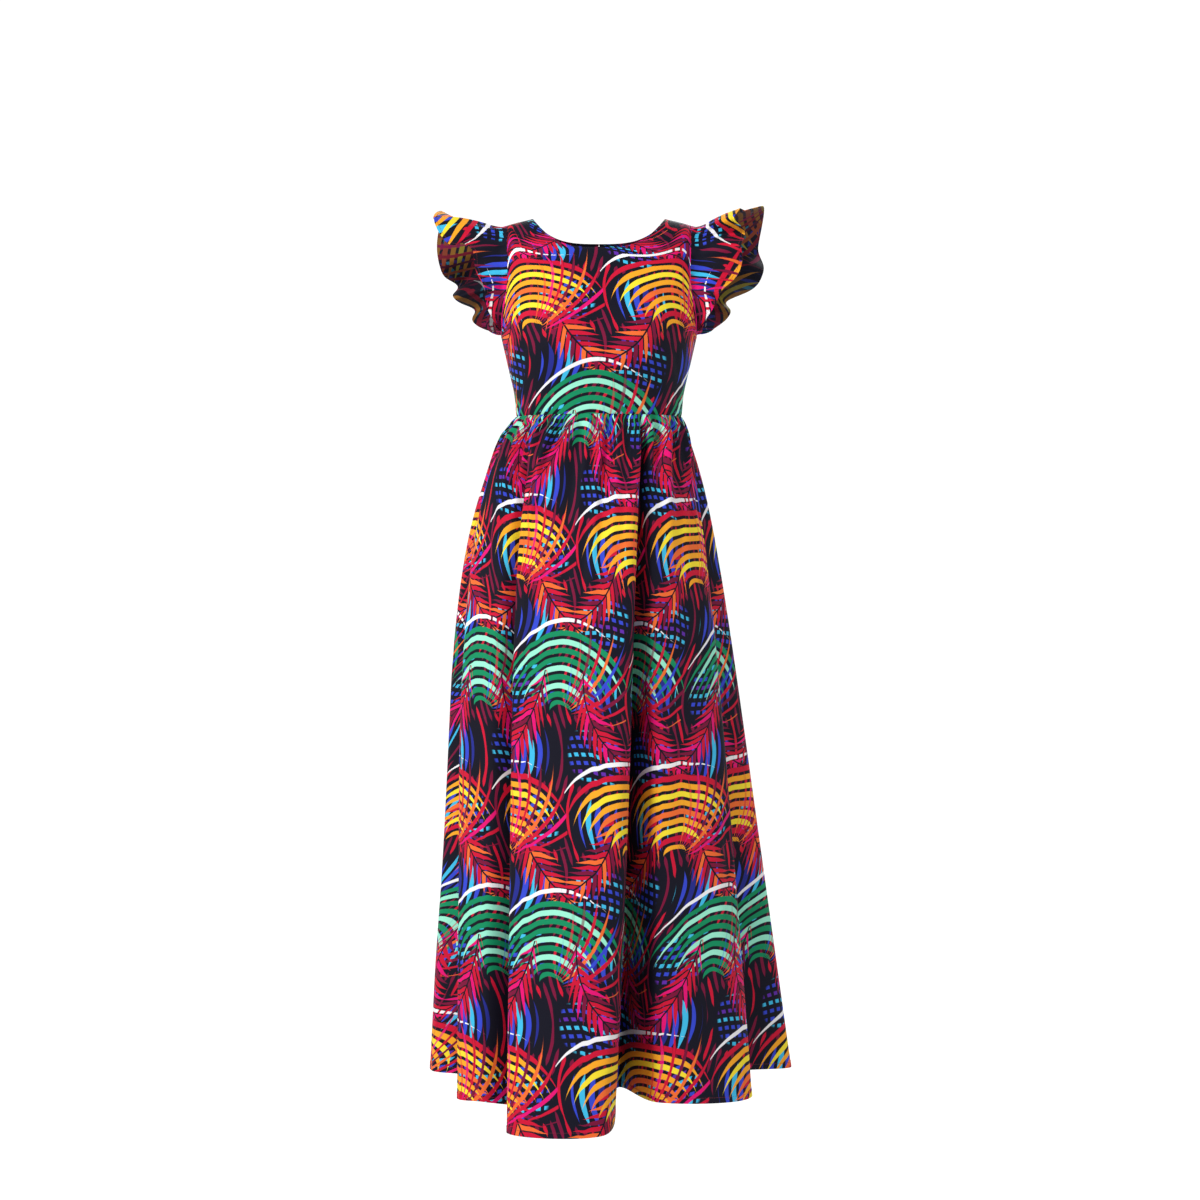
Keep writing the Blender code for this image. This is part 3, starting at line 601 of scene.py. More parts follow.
@dataclass(frozen=True)
class WaxPrint:
    """The printed design: rows of nested shells, warm and cool in turn, with leaves between.

    Sizes are in metres of flat cloth, as width across and height down, and angles in radians.
    A ramp is where something starts to show and where it shows in full.
    """

    width: float = 0.236
    height: float = 0.206
    edge: float = 0.0006
    shell_low: float = 0.070
    swirl: float = 3.4
    arc_pitch: float = 0.0135
    arc_width: float = 0.66
    arc_waver: float = 0.0022
    arc_wavers: float = 3.0
    arc_waver_start: float = 0.6
    arc_start: Ramp = (0.012, 0.022)
    arc_end: Ramp = (0.136, 0.132)
    arc_side: Ramp = (1.30, 0.55)
    blade_turn: float = 0.165
    blade_width: float = 0.0078
    blade_pitch: float = 0.012
    blade_root: float = 0.0015
    blade_start: Ramp = (0.016, 0.046)
    blade_end: Ramp = (0.180, 0.106)
    blade_near_side: Ramp = (0.05, 0.40)
    blade_far_side: Ramp = (1.75, 1.20)
    cut_width: float = 0.34
    cut_pitch: float = 0.010
    cut_side: Ramp = (0.05, 0.55)
    crescent_out: float = 0.148
    crescent_half: float = 0.0036
    crescent_middle: float = 0.25
    crescent_side: Ramp = (0.95, 0.05)
    nick_turn: float = 0.085
    nick_width: float = 0.42
    nick_side: Ramp = (-0.05, 0.02)
    leaf_lean: float = 0.62
    leaf_aside: float = 0.052
    leaf_up: float = 0.118
    leaf_bend: float = 3.2
    leaf_length: float = 0.105
    leaf_half: float = 0.034
    vein_pitch: float = 0.0125
    vein_slant: float = 1.1
    vein_width: float = 0.80
    vein_end: Ramp = (-0.004, 0.022)
    rib_half: float = 0.0016
    ladder_pitch: float = 0.0125
    ladder_steps: float = 1.05
    ladder_row: float = 0.50
    ladder_dash: float = 0.62
    ladder_wave: float = 0.010
    ladder_roll: float = 0.012
    ladder_cells: Ramp = (-0.30, -0.42)
    bar_pitch: float = 0.0150
    bar_roll: float = 0.016
    bar_start: float = 1.0
    blue_bar_width: float = 0.66
    blue_bar_cells: Ramp = (0.24, 0.88)
    red_bar_width: float = 0.50
    red_bar_cells: Ramp = (0.17, 0.02)
    red_bar_steps: float = 1.2
    red_bar_shift: float = 0.004
    cell_middle: float = 0.02
    cell_start: float = 0.9
    bend: float = 0.010
    bend_start: float = 0.6
    sway: float = 0.008
    sway_start: float = 1.9

    def wave(self, place: Field, length: float, start: float = 0.0) -> Field:
        """A wave of a length that starts part of a turn on."""
        turns = place * (2 * math.pi / length)
        return (turns + start if start else turns).sine()

    def lattice(self, across: Field, down: Field, shift: float, drop: float) -> Place:
        """Across and up from the middle of the nearest repeat of a motif."""
        tall = 2 * self.height
        inside = (((across + shift) / self.width).fraction() - 0.5) * self.width
        above = (((down + drop) / tall).fraction() - 0.5) * -tall
        return inside, above

    def stroke(self, phase: Field, width: Number, pitch: float) -> Field:
        """Cover of strokes that lie one to each whole number of a phase.

        Args:
            phase: Counts the strokes.
            width: Share of the pitch that a stroke takes.
            pitch: Distance between strokes, in metres, for the softness of their edges.

        Returns:
            1 on a stroke and 0 off it.
        """
        off_middle = (phase.fraction() - 0.5).absolute() * 2.0
        varies = isinstance(width, Field)
        inside = (off_middle - width) * -1.0 if varies else off_middle.less_from(width)
        return inside.step(0.0, 2 * self.edge / pitch)

    def shell(self, base: Paint, at: Place, shell: Shell) -> Paint:
        """A shell of nested arcs, with blades across one side of it and a thin arc round it.

        Args:
            base: The paint that it is laid on.
            at: Place from the motif's middle.
            shell: Its colours.

        Returns:
            The paint with the shell on it.
        """
        above = at[1] + self.shell_low
        reach, turn = at[0].length_with(above), at[0].turn_from(above)
        rays = (turn + reach * self.swirl) / self.blade_turn
        one_side = turn.step(*self.blade_near_side) * turn.step(*self.blade_far_side)
        width = (reach * self.blade_turn + self.blade_root).power(-1.0) * self.blade_width
        width = width * reach.step(*self.blade_end) * one_side * reach.step(*self.blade_start)
        blades = self.stroke(rays, width, self.blade_pitch)
        painted = base.under(Paint.striped(rays, shell.blades), blades)
        wavy = (turn * self.arc_wavers + self.arc_waver_start).sine() * self.arc_waver
        phase = (reach + wavy) / self.arc_pitch
        taper = turn.absolute().step(*self.arc_side)
        band = reach.step(*self.arc_start) * reach.step(*self.arc_end)
        arcs = self.stroke(phase, taper * self.arc_width * band, self.arc_pitch)
        cuts = self.stroke(rays, self.cut_width, self.cut_pitch) * turn.step(*self.cut_side)
        painted = painted.under(Paint.striped(phase, shell.arcs), arcs * cuts.less_from(1.0))
        ends = (turn + self.crescent_middle).absolute().step(*self.crescent_side)
        off_arc = (reach - self.crescent_out).absolute()
        cover = (ends * self.crescent_half - off_arc).step(0.0, self.edge)
        nicks = self.stroke(turn / self.nick_turn, self.nick_width, self.blade_pitch)
        return painted.under(CHALK, cover * (nicks * turn.step(*self.nick_side)).less_from(1.0))

    def leaf(self, base: Paint, at: Place, lean: float, colours: Sequence[Colour]) -> Paint:
        """A pointed leaf with slanting veins, laid on a paint.

        Args:
            base: The paint that it is laid on.
            at: Place from the motif's middle.
            lean: Its lean to the right of upright.
            colours: Colours of its veins in order.

        Returns:
            The paint with the leaf on it.
        """
        sine, cosine = math.sin(lean), math.cos(lean)
        moved, raised = at[0] - math.copysign(self.leaf_aside, lean), at[1] - self.leaf_up
        aside = moved * cosine - raised * sine
        along = moved * sine + raised * cosine
        off_rib = (aside + along * along * math.copysign(self.leaf_bend, lean)).absolute()
        share = (along / self.leaf_length).absolute().smaller(1.0)
        half = (share * share).less_from(1.0) * self.leaf_half
        inside = (half - off_rib).step(0.0, self.edge * 2)
        veins = (along + off_rib * self.vein_slant) / self.vein_pitch
        thick = (half - off_rib).step(*self.vein_end) * self.vein_width
        strokes = self.stroke(veins, thick, self.vein_pitch) * inside
        rib = off_rib.less_from(self.rib_half).step(0.0, self.edge) * inside
        return base.under(Paint.striped(veins, colours), strokes).under(GROUND, rib)

    def ladder(self, base: Paint, across: Field, down: Field, where: Field) -> Paint:
        """Rows of short dashes in blues.

        Args:
            base: The paint that they are laid on.
            across: Place across the cloth.
            down: Place down the cloth.
            where: How far they show.

        Returns:
            The paint with the dashes on it.
        """
        pitch = self.ladder_pitch
        rows = (down + self.wave(across, self.width) * self.ladder_wave) / pitch
        steps = across + self.wave(down, self.height) * self.ladder_roll
        steps = steps / (pitch * self.ladder_steps)
        dashes = self.stroke(rows, self.ladder_row, pitch)
        dashes = dashes * self.stroke(steps, self.ladder_dash, pitch)
        return base.under(Paint.striped(rows, DASHES), dashes * where)

    def bars(self, base: Paint, at: Place, where: Field, colours: Sequence[Colour]) -> Paint:
        """Long bars that taper to points.

        Args:
            base: The paint that they are laid on.
            at: Place across and down the cloth.
            where: The share of the pitch that they take.
            colours: Their colours in order.

        Returns:
            The paint with the bars on it.
        """
        steps = at[0] + self.wave(at[1], self.height, self.bar_start) * self.bar_roll
        steps = steps / self.bar_pitch
        cover = self.stroke(steps, where, self.bar_pitch)
        return base.under(Paint.striped(steps, colours), cover)

    def painted(self, across: Field, down: Field) -> Paint:
        """The whole design on the flat cloth.

        Args:
            across: Place across the cloth.
            down: Place down the cloth.

        Returns:
            Its colour.
        """
        wide, tall = self.width, self.height
        bend = self.wave(down, 2 * tall, self.bend_start) * self.bend
        sway = self.wave(across, wide, self.sway_start) * self.sway
        across, down = across + bend, down + sway
        cells = self.wave(across, wide) * self.wave(down, tall, self.cell_start)
        paint = Paint.plain(across.tree, GROUND)
        reds = (cells - self.cell_middle).absolute().step(*self.red_bar_cells)
        at = (across * self.red_bar_steps + self.red_bar_shift, down)
        paint = self.bars(paint, at, reds * self.red_bar_width, RED_BARS)
        blues = cells.step(*self.blue_bar_cells) * self.blue_bar_width
        paint = self.bars(paint, (across, down), blues, BLUE_BARS)
        paint = self.ladder(paint, across, down, cells.step(*self.ladder_cells))
        warm = self.lattice(across, down, 0.0, 0.0)
        cool = self.lattice(across, down, wide / 2, tall)
        for at, shell in ((cool, COOL), (warm, WARM)):
            for lean in (self.leaf_lean, -self.leaf_lean):
                paint = self.leaf(paint, at, lean, shell.leaves)
            paint = self.shell(paint, at, shell)
        return paint


# ---- finishes


@dataclass(frozen=True)
class PrintedCotton:
    """Waxed, printed cotton: the design, a fine plain weave and a low sheen, with painted shade on
    its wrong side.
    """

    name: str
    reverse: bool = False
    shift: tuple[float, float] = (0.0, 0.0)
    design: WaxPrint = field(default_factory=WaxPrint)
    clouds: tuple[float, float] = (26.0, 4.0)  # scale and detail
    cloud: float = 0.10
    painted_underside_shade: float = 0.72  # painted shade: how far the print on the wrong side is darkened towards the ground colour
    thread: float = 0.00042
    thread_high: float = 0.00005
    handled_high: float = 0.0012
    bump: float = 0.35
    looks: tuple = (
        ("Roughness", 0.72),
        ("Specular IOR Level", 0.10),
        ("Sheen Weight", 0.02),
        ("Sheen Roughness", 0.45),
    )

    def material(self) -> Material:
        """The material, on the piece's own UV map in metres."""
        finish = Finish(self.name, on_cloth=True)
        split = new_node(finish.tree, "ShaderNodeSeparateXYZ", {0: finish.places}).outputs
        across = Field(finish.tree, split["X"]) + self.shift[0]
        down = Field(finish.tree, split["Y"]) + self.shift[1]
        clouds = finish.noise(*self.clouds)
        paint = self.design.painted(across, down).under(SOIL, clouds * self.cloud)
        # painted shade: the wrong side keeps the same print, darkened towards the ground colour
        # for the shade under the cloth
        if self.reverse:
            paint = paint.under(GROUND, clouds * self.cloud + self.painted_underside_shade)
        turn = math.pi / self.thread
        weave = (across * turn).sine() * (down * turn).sine()
        height = weave * self.thread_high + clouds * self.handled_high
        normal = finish.bump(height, self.bump, 1.0)
        return finish.finished({"Base Color": paint, "Normal": normal, **dict(self.looks)})


@dataclass(frozen=True)
class Yarn:
    """Spun thread or woven tape of one colour with a fine twist."""

    name: str
    colour: Colour
    darker: Colour
    twist: float = 2600.0
    distortion: float = 2.0
    roughness: float = 0.7
    bump: float = 0.3
    rib_high: float = 0.0002

    def material(self) -> Material:
        """The material, on Object coordinates."""
        finish = Finish(self.name)
        values = {"Vector": finish.places, "Scale": self.twist, "Distortion": self.distortion}
        wave = new_node(finish.tree, "ShaderNodeTexWave", values, bands_direction="DIAGONAL")
        ribs = Field(finish.tree, wave.outputs["Fac"])
        paint = Paint.plain(finish.tree, self.darker).under(self.colour, ribs)
        normal = finish.bump(ribs, self.bump, self.rib_high)
        looks = {"Base Color": paint, "Roughness": self.roughness, "Normal": normal}
        return finish.finished(looks)


@dataclass(frozen=True)
class PaintedMetal:
    """Stove-enamelled zip metal, worn to bright in fine random specks."""

    name: str
    enamel: Colour
    bright: Colour
    grain: tuple[float, float] = (900.0, 3.0)  # scale and detail
    worn: Ramp = (0.60, 0.74)
    smoothest: float = 0.24
    rougher: float = 0.22  # how much the grain adds
    metallic: float = 0.6

    def material(self) -> Material:
        """The material, on Object coordinates."""
        finish = Finish(self.name)
        grain = finish.noise(*self.grain)
        paint = Paint.plain(finish.tree, self.enamel).under(self.bright, grain.step(*self.worn))
        rough = grain * self.rougher + self.smoothest
        looks = {"Base Color": paint, "Roughness": rough, "Metallic": self.metallic}
        return finish.finished(looks)


# ---- repeated small parts


class LineTree:
    """A Geometry Nodes tree that lays one small part along lines, again and again."""

    kinds = {float: "NodeSocketFloat", tuple: "NodeSocketVector", Material: "NodeSocketMaterial"}

    def __init__(self, name: str, sizes: dict, finish: Material) -> None:
        """Starts the tree with its points along the lines.

        Args:
            name: Name of the tree.
            sizes: Value of each named input, of which one is the pitch.
            finish: Material of the part.
        """
        self.tree = bpy.data.node_groups.new(name, "GeometryNodeTree")
        self.values = {**sizes, "Finish": finish}
        inputs = {entry: self.kinds[type(value)] for entry, value in self.values.items()}
        for entry, kind in {"Geometry": "NodeSocketGeometry", **inputs}.items():
            self.tree.interface.new_socket(entry, in_out="INPUT", socket_type=kind)
        kind = "NodeSocketGeometry"
        self.tree.interface.new_socket("Geometry", in_out="OUTPUT", socket_type=kind)
        self.given = self.add("NodeGroupInput", {})
        curve = self.add("GeometryNodeMeshToCurve", {"Mesh": self.given["Geometry"]})
        values = {"Curve": curve["Curve"], "Length": self.given["Pitch"]}
        self.points = self.add("GeometryNodeCurveToPoints", values, mode="LENGTH")

    def add(self, kind: str, values: dict, **settings: str) -> bpy.types.NodeOutputs:
        """Outputs of a new node with its inputs filled."""
        return new_node(self.tree, kind, values, **settings).outputs

    def laid(self, name: str, lines: Sequence[Array], values: dict) -> Object:
        """Lays the part along lines and keeps it as a plain mesh.

        Args:
            name: Name of the object.
            lines: Lines of points.
            values: What goes into the inputs for the points, their turns and the part.

        Returns:
            The object.
        """
        placed = self.add("GeometryNodeInstanceOnPoints", values)
        real = self.add("GeometryNodeRealizeInstances", {0: placed["Instances"]})
        values = {"Geometry": real["Geometry"], "Material": self.given["Finish"]}
        dressed = self.add("GeometryNodeSetMaterial", values)
        self.add("NodeGroupOutput", {"Geometry": dressed["Geometry"]})
        line_mesh = bpy.data.meshes.new(name + "_line")
        ends = np.cumsum([len(line) for line in lines])
        edges = [(k, k + 1) for k in range(ends[-1] - 1) if k + 1 not in ends]
        line_mesh.from_pydata(np.concatenate(lines).tolist(), edges, [])
        carrier = shown(name + "_line", line_mesh)
        modifier = carrier.modifiers.new("nodes", "NODES")
        modifier.node_group = self.tree
        for entry in self.tree.interface.items_tree:
            if entry.in_out == "INPUT" and entry.name in self.values:
                modifier[entry.identifier] = self.values[entry.name]
        graph = bpy.context.evaluated_depsgraph_get()
        graph.update()
        mesh = bpy.data.meshes.new_from_object(carrier.evaluated_get(graph))
        carrier.modifiers.clear()
        bpy.data.objects.remove(carrier)
        mesh.name = name
        return shown(name, mesh)


@dataclass(frozen=True)
class StitchRun:
    """Thread stitches along lines: their pitch, length and radius, in metres."""

    pitch: float = 0.0030
    length: float = 0.0021
    radius: float = 0.00022
    sides: int = 6

    def made(self, name: str, lines: Sequence[Array], thread: Material) -> Object:
        """Stitches along lines, as one plain mesh object.

        Args:
            name: Name of the object.
            lines: Lines of points.
            thread: Their material.

        Returns:
            The object.
        """
        sizes = {"Pitch": self.pitch, "Length": self.length, "Radius": self.radius}
        tree = LineTree("stitch_run", sizes, thread)
        given, points = tree.given, tree.points
        values = {"Vertices": self.sides, "Depth": given["Length"], "Radius": given["Radius"]}
        stitch = tree.add("GeometryNodeMeshCylinder", values)["Mesh"]
        turns = points["Rotation"]
        values = {"Points": points["Points"], "Rotation": turns, "Instance": stitch}
        return tree.laid(name, lines, values)


@dataclass(frozen=True)
class ZipTeeth:
    """A zip's teeth along its middle line, to the left and right in turn, in metres."""

    pitch: float = 0.00125
    across: float = 0.00150
    along: float = 0.00062
    high: float = 0.00046
    aside: float = 0.00028

    def made(self, name: str, line: Array, finish: Material) -> Object:
        """Teeth along one line, as one plain mesh object.

        Args:
            name: Name of the object.
            line: Points of the line.
            finish: Their material.

        Returns:
            The object.
        """
        size = (self.across, self.along, self.high)
        sizes = {"Pitch": self.pitch, "Aside": self.aside, "Size": size}
        tree = LineTree("zip_teeth", sizes, finish)
        given, points = tree.given, tree.points
        number = Field(tree.tree, tree.add("GeometryNodeInputIndex", {})[0])
        swing = (number.to_and_fro(1.0) * 2.0 - 1.0) * Field(tree.tree, given["Aside"])
        shift = tree.add("ShaderNodeCombineXYZ", {"X": swing})[0]
        values = {"Geometry": points["Points"], "Offset": shift}
        moved = tree.add("GeometryNodeSetPosition", values)["Geometry"]
        towards = {"Vector": points["Tangent"]}
        turned = tree.add("FunctionNodeAlignRotationToVector", towards, axis="Y")["Rotation"]
        tooth = tree.add("GeometryNodeMeshCube", {"Size": given["Size"]})["Mesh"]
        return tree.laid(name, [line], {"Points": moved, "Rotation": turned, "Instance": tooth})


# ---- bodice


class Section(NamedTuple):
    """A level section of the bodice: half width, and depth before and behind the shoulder seam."""

    z: float
    half_width: float
    front: float
    back: float
    squareness: float


SECTION_PARTS = (MILLI, TENTH_MILLI, MILLI, MILLI, CENT)


class Swell(NamedTuple):
    """A round swell of the bodice's front, one each side of centre."""

    apart: float
    z: float
    out: float
    wide: float
    high: float


@dataclass
class Bodice:
    """The fitted bodice: one front, and a back in two halves for the zip."""

    torso: tuple = rows_of(Section, SECTION_PARTS, (
        (-307, 1310, 98, 88, 200), (-270, 1345, 105, 88, 210), (-230, 1435, 116, 92, 225),
        (-190, 1525, 121, 96, 235), (-150, 1610, 112, 98, 240), (-100, 1650, 91, 93, 240),
        (-50, 1660, 70, 78, 240), (10, 1660, 60, 62, 240),
    ))
    armhole_rows: tuple = (  # height, and turn from centre front in degrees
        (-0.003, 58.5), (-0.030, 58.0), (-0.060, 57.5), (-0.090, 57.5),
        (-0.120, 60.0), (-0.150, 65.5), (-0.172, 75.0), (-0.182, 90.0),
    )
    bust: Swell = Swell(0.074, -0.182, 0.011, 0.036, 0.042)
    neck_half: float = 0.105
    neck_drop: tuple = (0.045, 0.024)  # before and behind
    neck_roundness: float = 3.3
    shoulder_top: float = 0.007
    shoulder_fall: float = 0.010
    shoulder_out: float = 0.1455
    shoulder_round: float = 0.050
    underarm_row_z: float = -0.215
    zip_opens: Ramp = (0.0022, 0.0040)
    close_at_neck: float = 1.3
    neck_rows: int = 49
    arm_rows: int = 85
    rows: int = 127
    columns: int = 66
    neck_stitch_row: int = 2
    unstitched: int = 2  # rows left free at the ends of its stitch lines
    flat_by_armhole: float = 0.012
    flat_by_neck: float = 0.006
    flat_by_waist: float = 0.008
    front_size: tuple = (0.40, 0.35, 0.112)
    back_size: tuple = (0.20, 0.34, 0.054)
    front_creases: tuple = rows_of(Crease, CREASE_PARTS, (
        (30, -262, 128, -150, 20, 110, 55), (-26, -268, -122, -158, 18, 120, 50),
        (118, -128, 150, -40, -16, 80, 40), (-116, -132, -150, -48, -16, 80, 45),
        (52, -165, 142, -118, 13, 100, 60), (-50, -170, -140, -122, 14, 100, 55),
        (-168, -10, -112, -30, -17, 60, 25), (-172, -34, -106, -46, 16, 70, 30),
        (170, -14, 108, -38, -15, 60, 25), (172, -46, 120, -62, 12, 60, 30),
        (-78, -2, -76, -90, -16, 40, 10), (78, -2, 76, -86, -16, 40, 10),
        (-40, -14, 34, -6, 10, 70, 50), (-62, -150, 60, -156, -14, 160, 50),
    ))
    back_creases: tuple = rows_of(Crease, CREASE_PARTS, (
        (-75, -2, -80, -130, -16, 40, 10), (75, -2, 80, -130, -16, 40, 10),
        (30, -22, 150, -36, 18, 80, 45), (-26, -30, -150, -22, 18, 80, 40),
        (34, -58, 150, -70, -15, 90, 50), (-36, -66, -146, -62, -14, 90, 50),
        (50, -190, 146, -128, 14, 110, 60), (-48, -186, -148, -132, 14, 110, 55),
        (112, -236, 150, -176, -12, 80, 50), (-110, -240, -150, -180, -12, 80, 50),
    ))

    def shoulder_height(self, x: Array) -> Array:
        """Height of the shoulder seam above x."""
        slope = self.shoulder_fall / (self.shoulder_out - self.neck_half)
        return self.shoulder_top - slope * np.maximum(np.abs(x) - self.neck_half, 0)

    def torso_at(self, name: str, z: Array) -> Array:
        """One measure of the torso at heights."""
        return through(table_column(self.torso, "z"), table_column(self.torso, name), z)

    def surface(self, turn: Array, z: Array, face: Face) -> Array:
        """Points of the bodice's outer surface.

        Args:
            turn: Turns from centre front or back, in degrees.
            z: Heights.
            face: Front or back.

        Returns:
            The points.
        """
        power = 2 / self.torso_at("squareness", z)
        across, along = np.sin(np.radians(turn)), np.cos(np.radians(turn))
        x = self.torso_at("half_width", z) * np.sign(across) * np.abs(across) ** power
        fall = np.clip((self.shoulder_height(x) - z) / self.shoulder_round, 0, 1)
        turned_in = np.sqrt(1 - (1 - fall) ** 2)
        deep = self.torso_at(face.name.lower(), z)
        y = face.value * deep * turned_in * np.maximum(along, 0) ** power
        if face is Face.FRONT:
            for side in Side:
                near = ((x - side.value * self.bust.apart) / self.bust.wide) ** 2
                near = near + ((z - self.bust.z) / self.bust.high) ** 2
                y = y - self.bust.out * np.exp(-near / 2)
        return np.stack([x, y, z + 0 * x], axis=-1)

    def neckline(self, face: Face) -> tuple[Array, Array]:
        """Half the neckline, centre first.

        Args:
            face: Front or back.

        Returns:
            Its turns and heights.
        """
        drop = self.neck_drop[face is Face.BACK]
        x = self.neck_half * np.sin(np.linspace(0, math.pi / 2, self.neck_rows))
        rise = 1 - (x / self.neck_half) ** self.neck_roundness
        z = self.shoulder_top - (drop + self.shoulder_top) * rise
        power = self.torso_at("squareness", z) / 2
        return np.degrees(np.arcsin((x / self.torso_at("half_width", z)) ** power)), z

    def armhole(self) -> tuple[Array, Array]:
        """Turns and heights on the armhole, down from the shoulder seam to the underarm."""
        rows = np.array(self.armhole_rows)
        length = run_lengths(self.surface(rows[:, 1], rows[:, 0], Face.FRONT)[None], 1)[0]
        place = through(length / length[-1], rows, np.linspace(0, 1, self.arm_rows))
        return place[..., 1], place[..., 0]

    def plain_half(self, face: Face, side: Side) -> tuple[Array, Array]:
        """Half a panel before its creases.

        Args:
            face: Front or back.
            side: Left or right.

        Returns:
            Its points, from the inner edge to the outer and top row first, and their normals,
            of which those on a seam are turned into the seam's plane.
        """
        turn, z = self.neckline(face)
        share = np.linspace(0, 1, self.arm_rows - self.neck_rows + 1)[1:] ** self.close_at_neck
        middle = z[0] + (self.underarm_row_z - z[0]) * share
        below = np.linspace(0, 1, self.rows - self.arm_rows + 1)[1:]
        lower = self.underarm_row_z + (WAIST_Z - self.underarm_row_z) * below
        inner_z = np.concatenate([z[::-1], middle, lower])
        inner_turn = np.concatenate([turn[::-1], np.zeros(self.rows - self.neck_rows)])
        turn, z = self.armhole()
        outer_turn = np.concatenate([turn, 90 + 0 * below])
        outer_z = np.concatenate([z, z[-1] + (WAIST_Z - z[-1]) * below])
        across = np.linspace(0, 1, self.columns + 1)[:, None]
        turn = inner_turn + (outer_turn - inner_turn) * across
        z = inner_z + (outer_z - inner_z) * across
        z[:, 0] = self.shoulder_top - self.shoulder_fall * across[:, 0]
        points = self.surface(side.value * turn, z, face)
        normals = grid_normals(points) * side.value * -face.value
        waist = (slice(None), -1)
        centre = (0, slice(self.neck_rows - 1, None))
        side_seam = (-1, slice(self.arm_rows - 1, None))
        for where, axis in ((waist, 2), (centre, 0), (side_seam, 1)):
            normals[where + (axis,)] = 0
            normals[where] = unit(normals[where])
        normals[:, 0] = (0, 0, 1)
        return points, normals

    def half(self, face: Face, side: Side) -> ClothGrid:
        """Half a panel with its creases and its drawn-in seams.

        Args:
            face: Front or back.
            side: Left or right.

        Returns:
            The cloth.
        """
        points, normals = self.plain_half(face, side)
        points[:, 0, 1] = 0
        points[-1, self.arm_rows - 1 :, 1] = 0
        from_inner = run_lengths(points, 0)
        across = side.value * (np.abs(points[:1, :, 0]) + from_inner)
        lengths = run_lengths(points, 1)
        down = lengths - lengths[:, -1:]
        creases = self.front_creases if face is Face.FRONT else self.back_creases
        to_edge = from_inner[-1:] - from_inner
        kept = smooth(0, self.flat_by_armhole, lengths) * smooth(0, self.flat_by_neck, to_edge)
        kept = kept * smooth(0, self.flat_by_waist, -down)
        height = crease_height(creases, across, down) * kept + dip(to_edge) + dip(down)
        height[:, 0] = 0
        height[-1, : self.arm_rows] = 0
        flat = np.stack([across, down], axis=-1)
        return ClothGrid(points, normals, flat, side is Side.LEFT).raised(height)

    def front(self) -> Object:
        """The front, in one piece."""
        return cloth_shell("bodice_front_cloth", [self.half(Face.FRONT, side) for side in Side])

    def back(self, side: Side) -> Object:
        """Half the back, whose inner edge lies beside the zip.

        Args:
            side: Left or right.

        Returns:
            The piece.
        """
        grid = self.half(Face.BACK, side)
        inner = grid.points[0, self.neck_rows - 1 :]
        opened = smooth(*self.zip_opens, inner[0, 2] - inner[:, 2])
        inner[:, 0] = side.value * (SEAM + (CHANNEL_HALF - SEAM) * opened)
        return cloth_shell(f"bodice_back_{side.name.lower()}_cloth", [grid])

    def neck_lines(self) -> list[Array]:
        """Stitch lines round the neck edge, just below it."""
        where = (self.neck_stitch_row, slice(self.unstitched, self.neck_rows - 1))
        (left, right), back = (
            [self.half(face, side).stitched()[where] for side in Side] for face in Face
        )
        return [np.concatenate([left, right[::-1]]), *(half[::-1] for half in back)]

    def zip_lines(self) -> list[Array]:
        """Stitch lines down each side of the zip on the bodice."""
        lines = []
        for side in Side:
            rows = self.half(Face.BACK, side).stitched().swapaxes(0, 1)
            rows = rows[self.neck_rows + self.unstitched : self.rows - 1]
            line = places_along(np.abs(rows[..., 0]), rows, ZIP_STITCH)
            line[:, 0] = side.value * ZIP_STITCH
            lines.append(line)
        return lines


# ---- skirt


class Outline(NamedTuple):
    """Reach of a level outline to each side, to the front and to the back."""

    left: float
    right: float
    front: float
    back: float


class FoldLine(NamedTuple):
    """An edge of a large fold's crest, or the valley after it.

    waist and hem are its turns there in degrees, out its reach, and lift how far its hem is up.
    """

    waist: float
    hem: float
    out: float
    lift: float


FOLD_PARTS = (1, 1, MILLI, MILLI)


class Wave(NamedTuple):
    """A slow wave: its height, how often it turns and where it starts."""

    amount: float
    times: float
    start: float


class Tuck(NamedTuple):
    """A crease of the skirt: its turn at the waist, start and end below it, and its shape."""

    turn: float
    start: float
    end: float
    out: float
    width: float
    lean: float


TUCK_PARTS = (1, MILLI, MILLI, TENTH_MILLI, TENTH_MILLI, MILLI)


class TuckKind(NamedTuple):
    """How a kind of tuck comes and goes along it, as shares, and how much it is deepened."""

    rise: float
    fall: float
    deepen: float


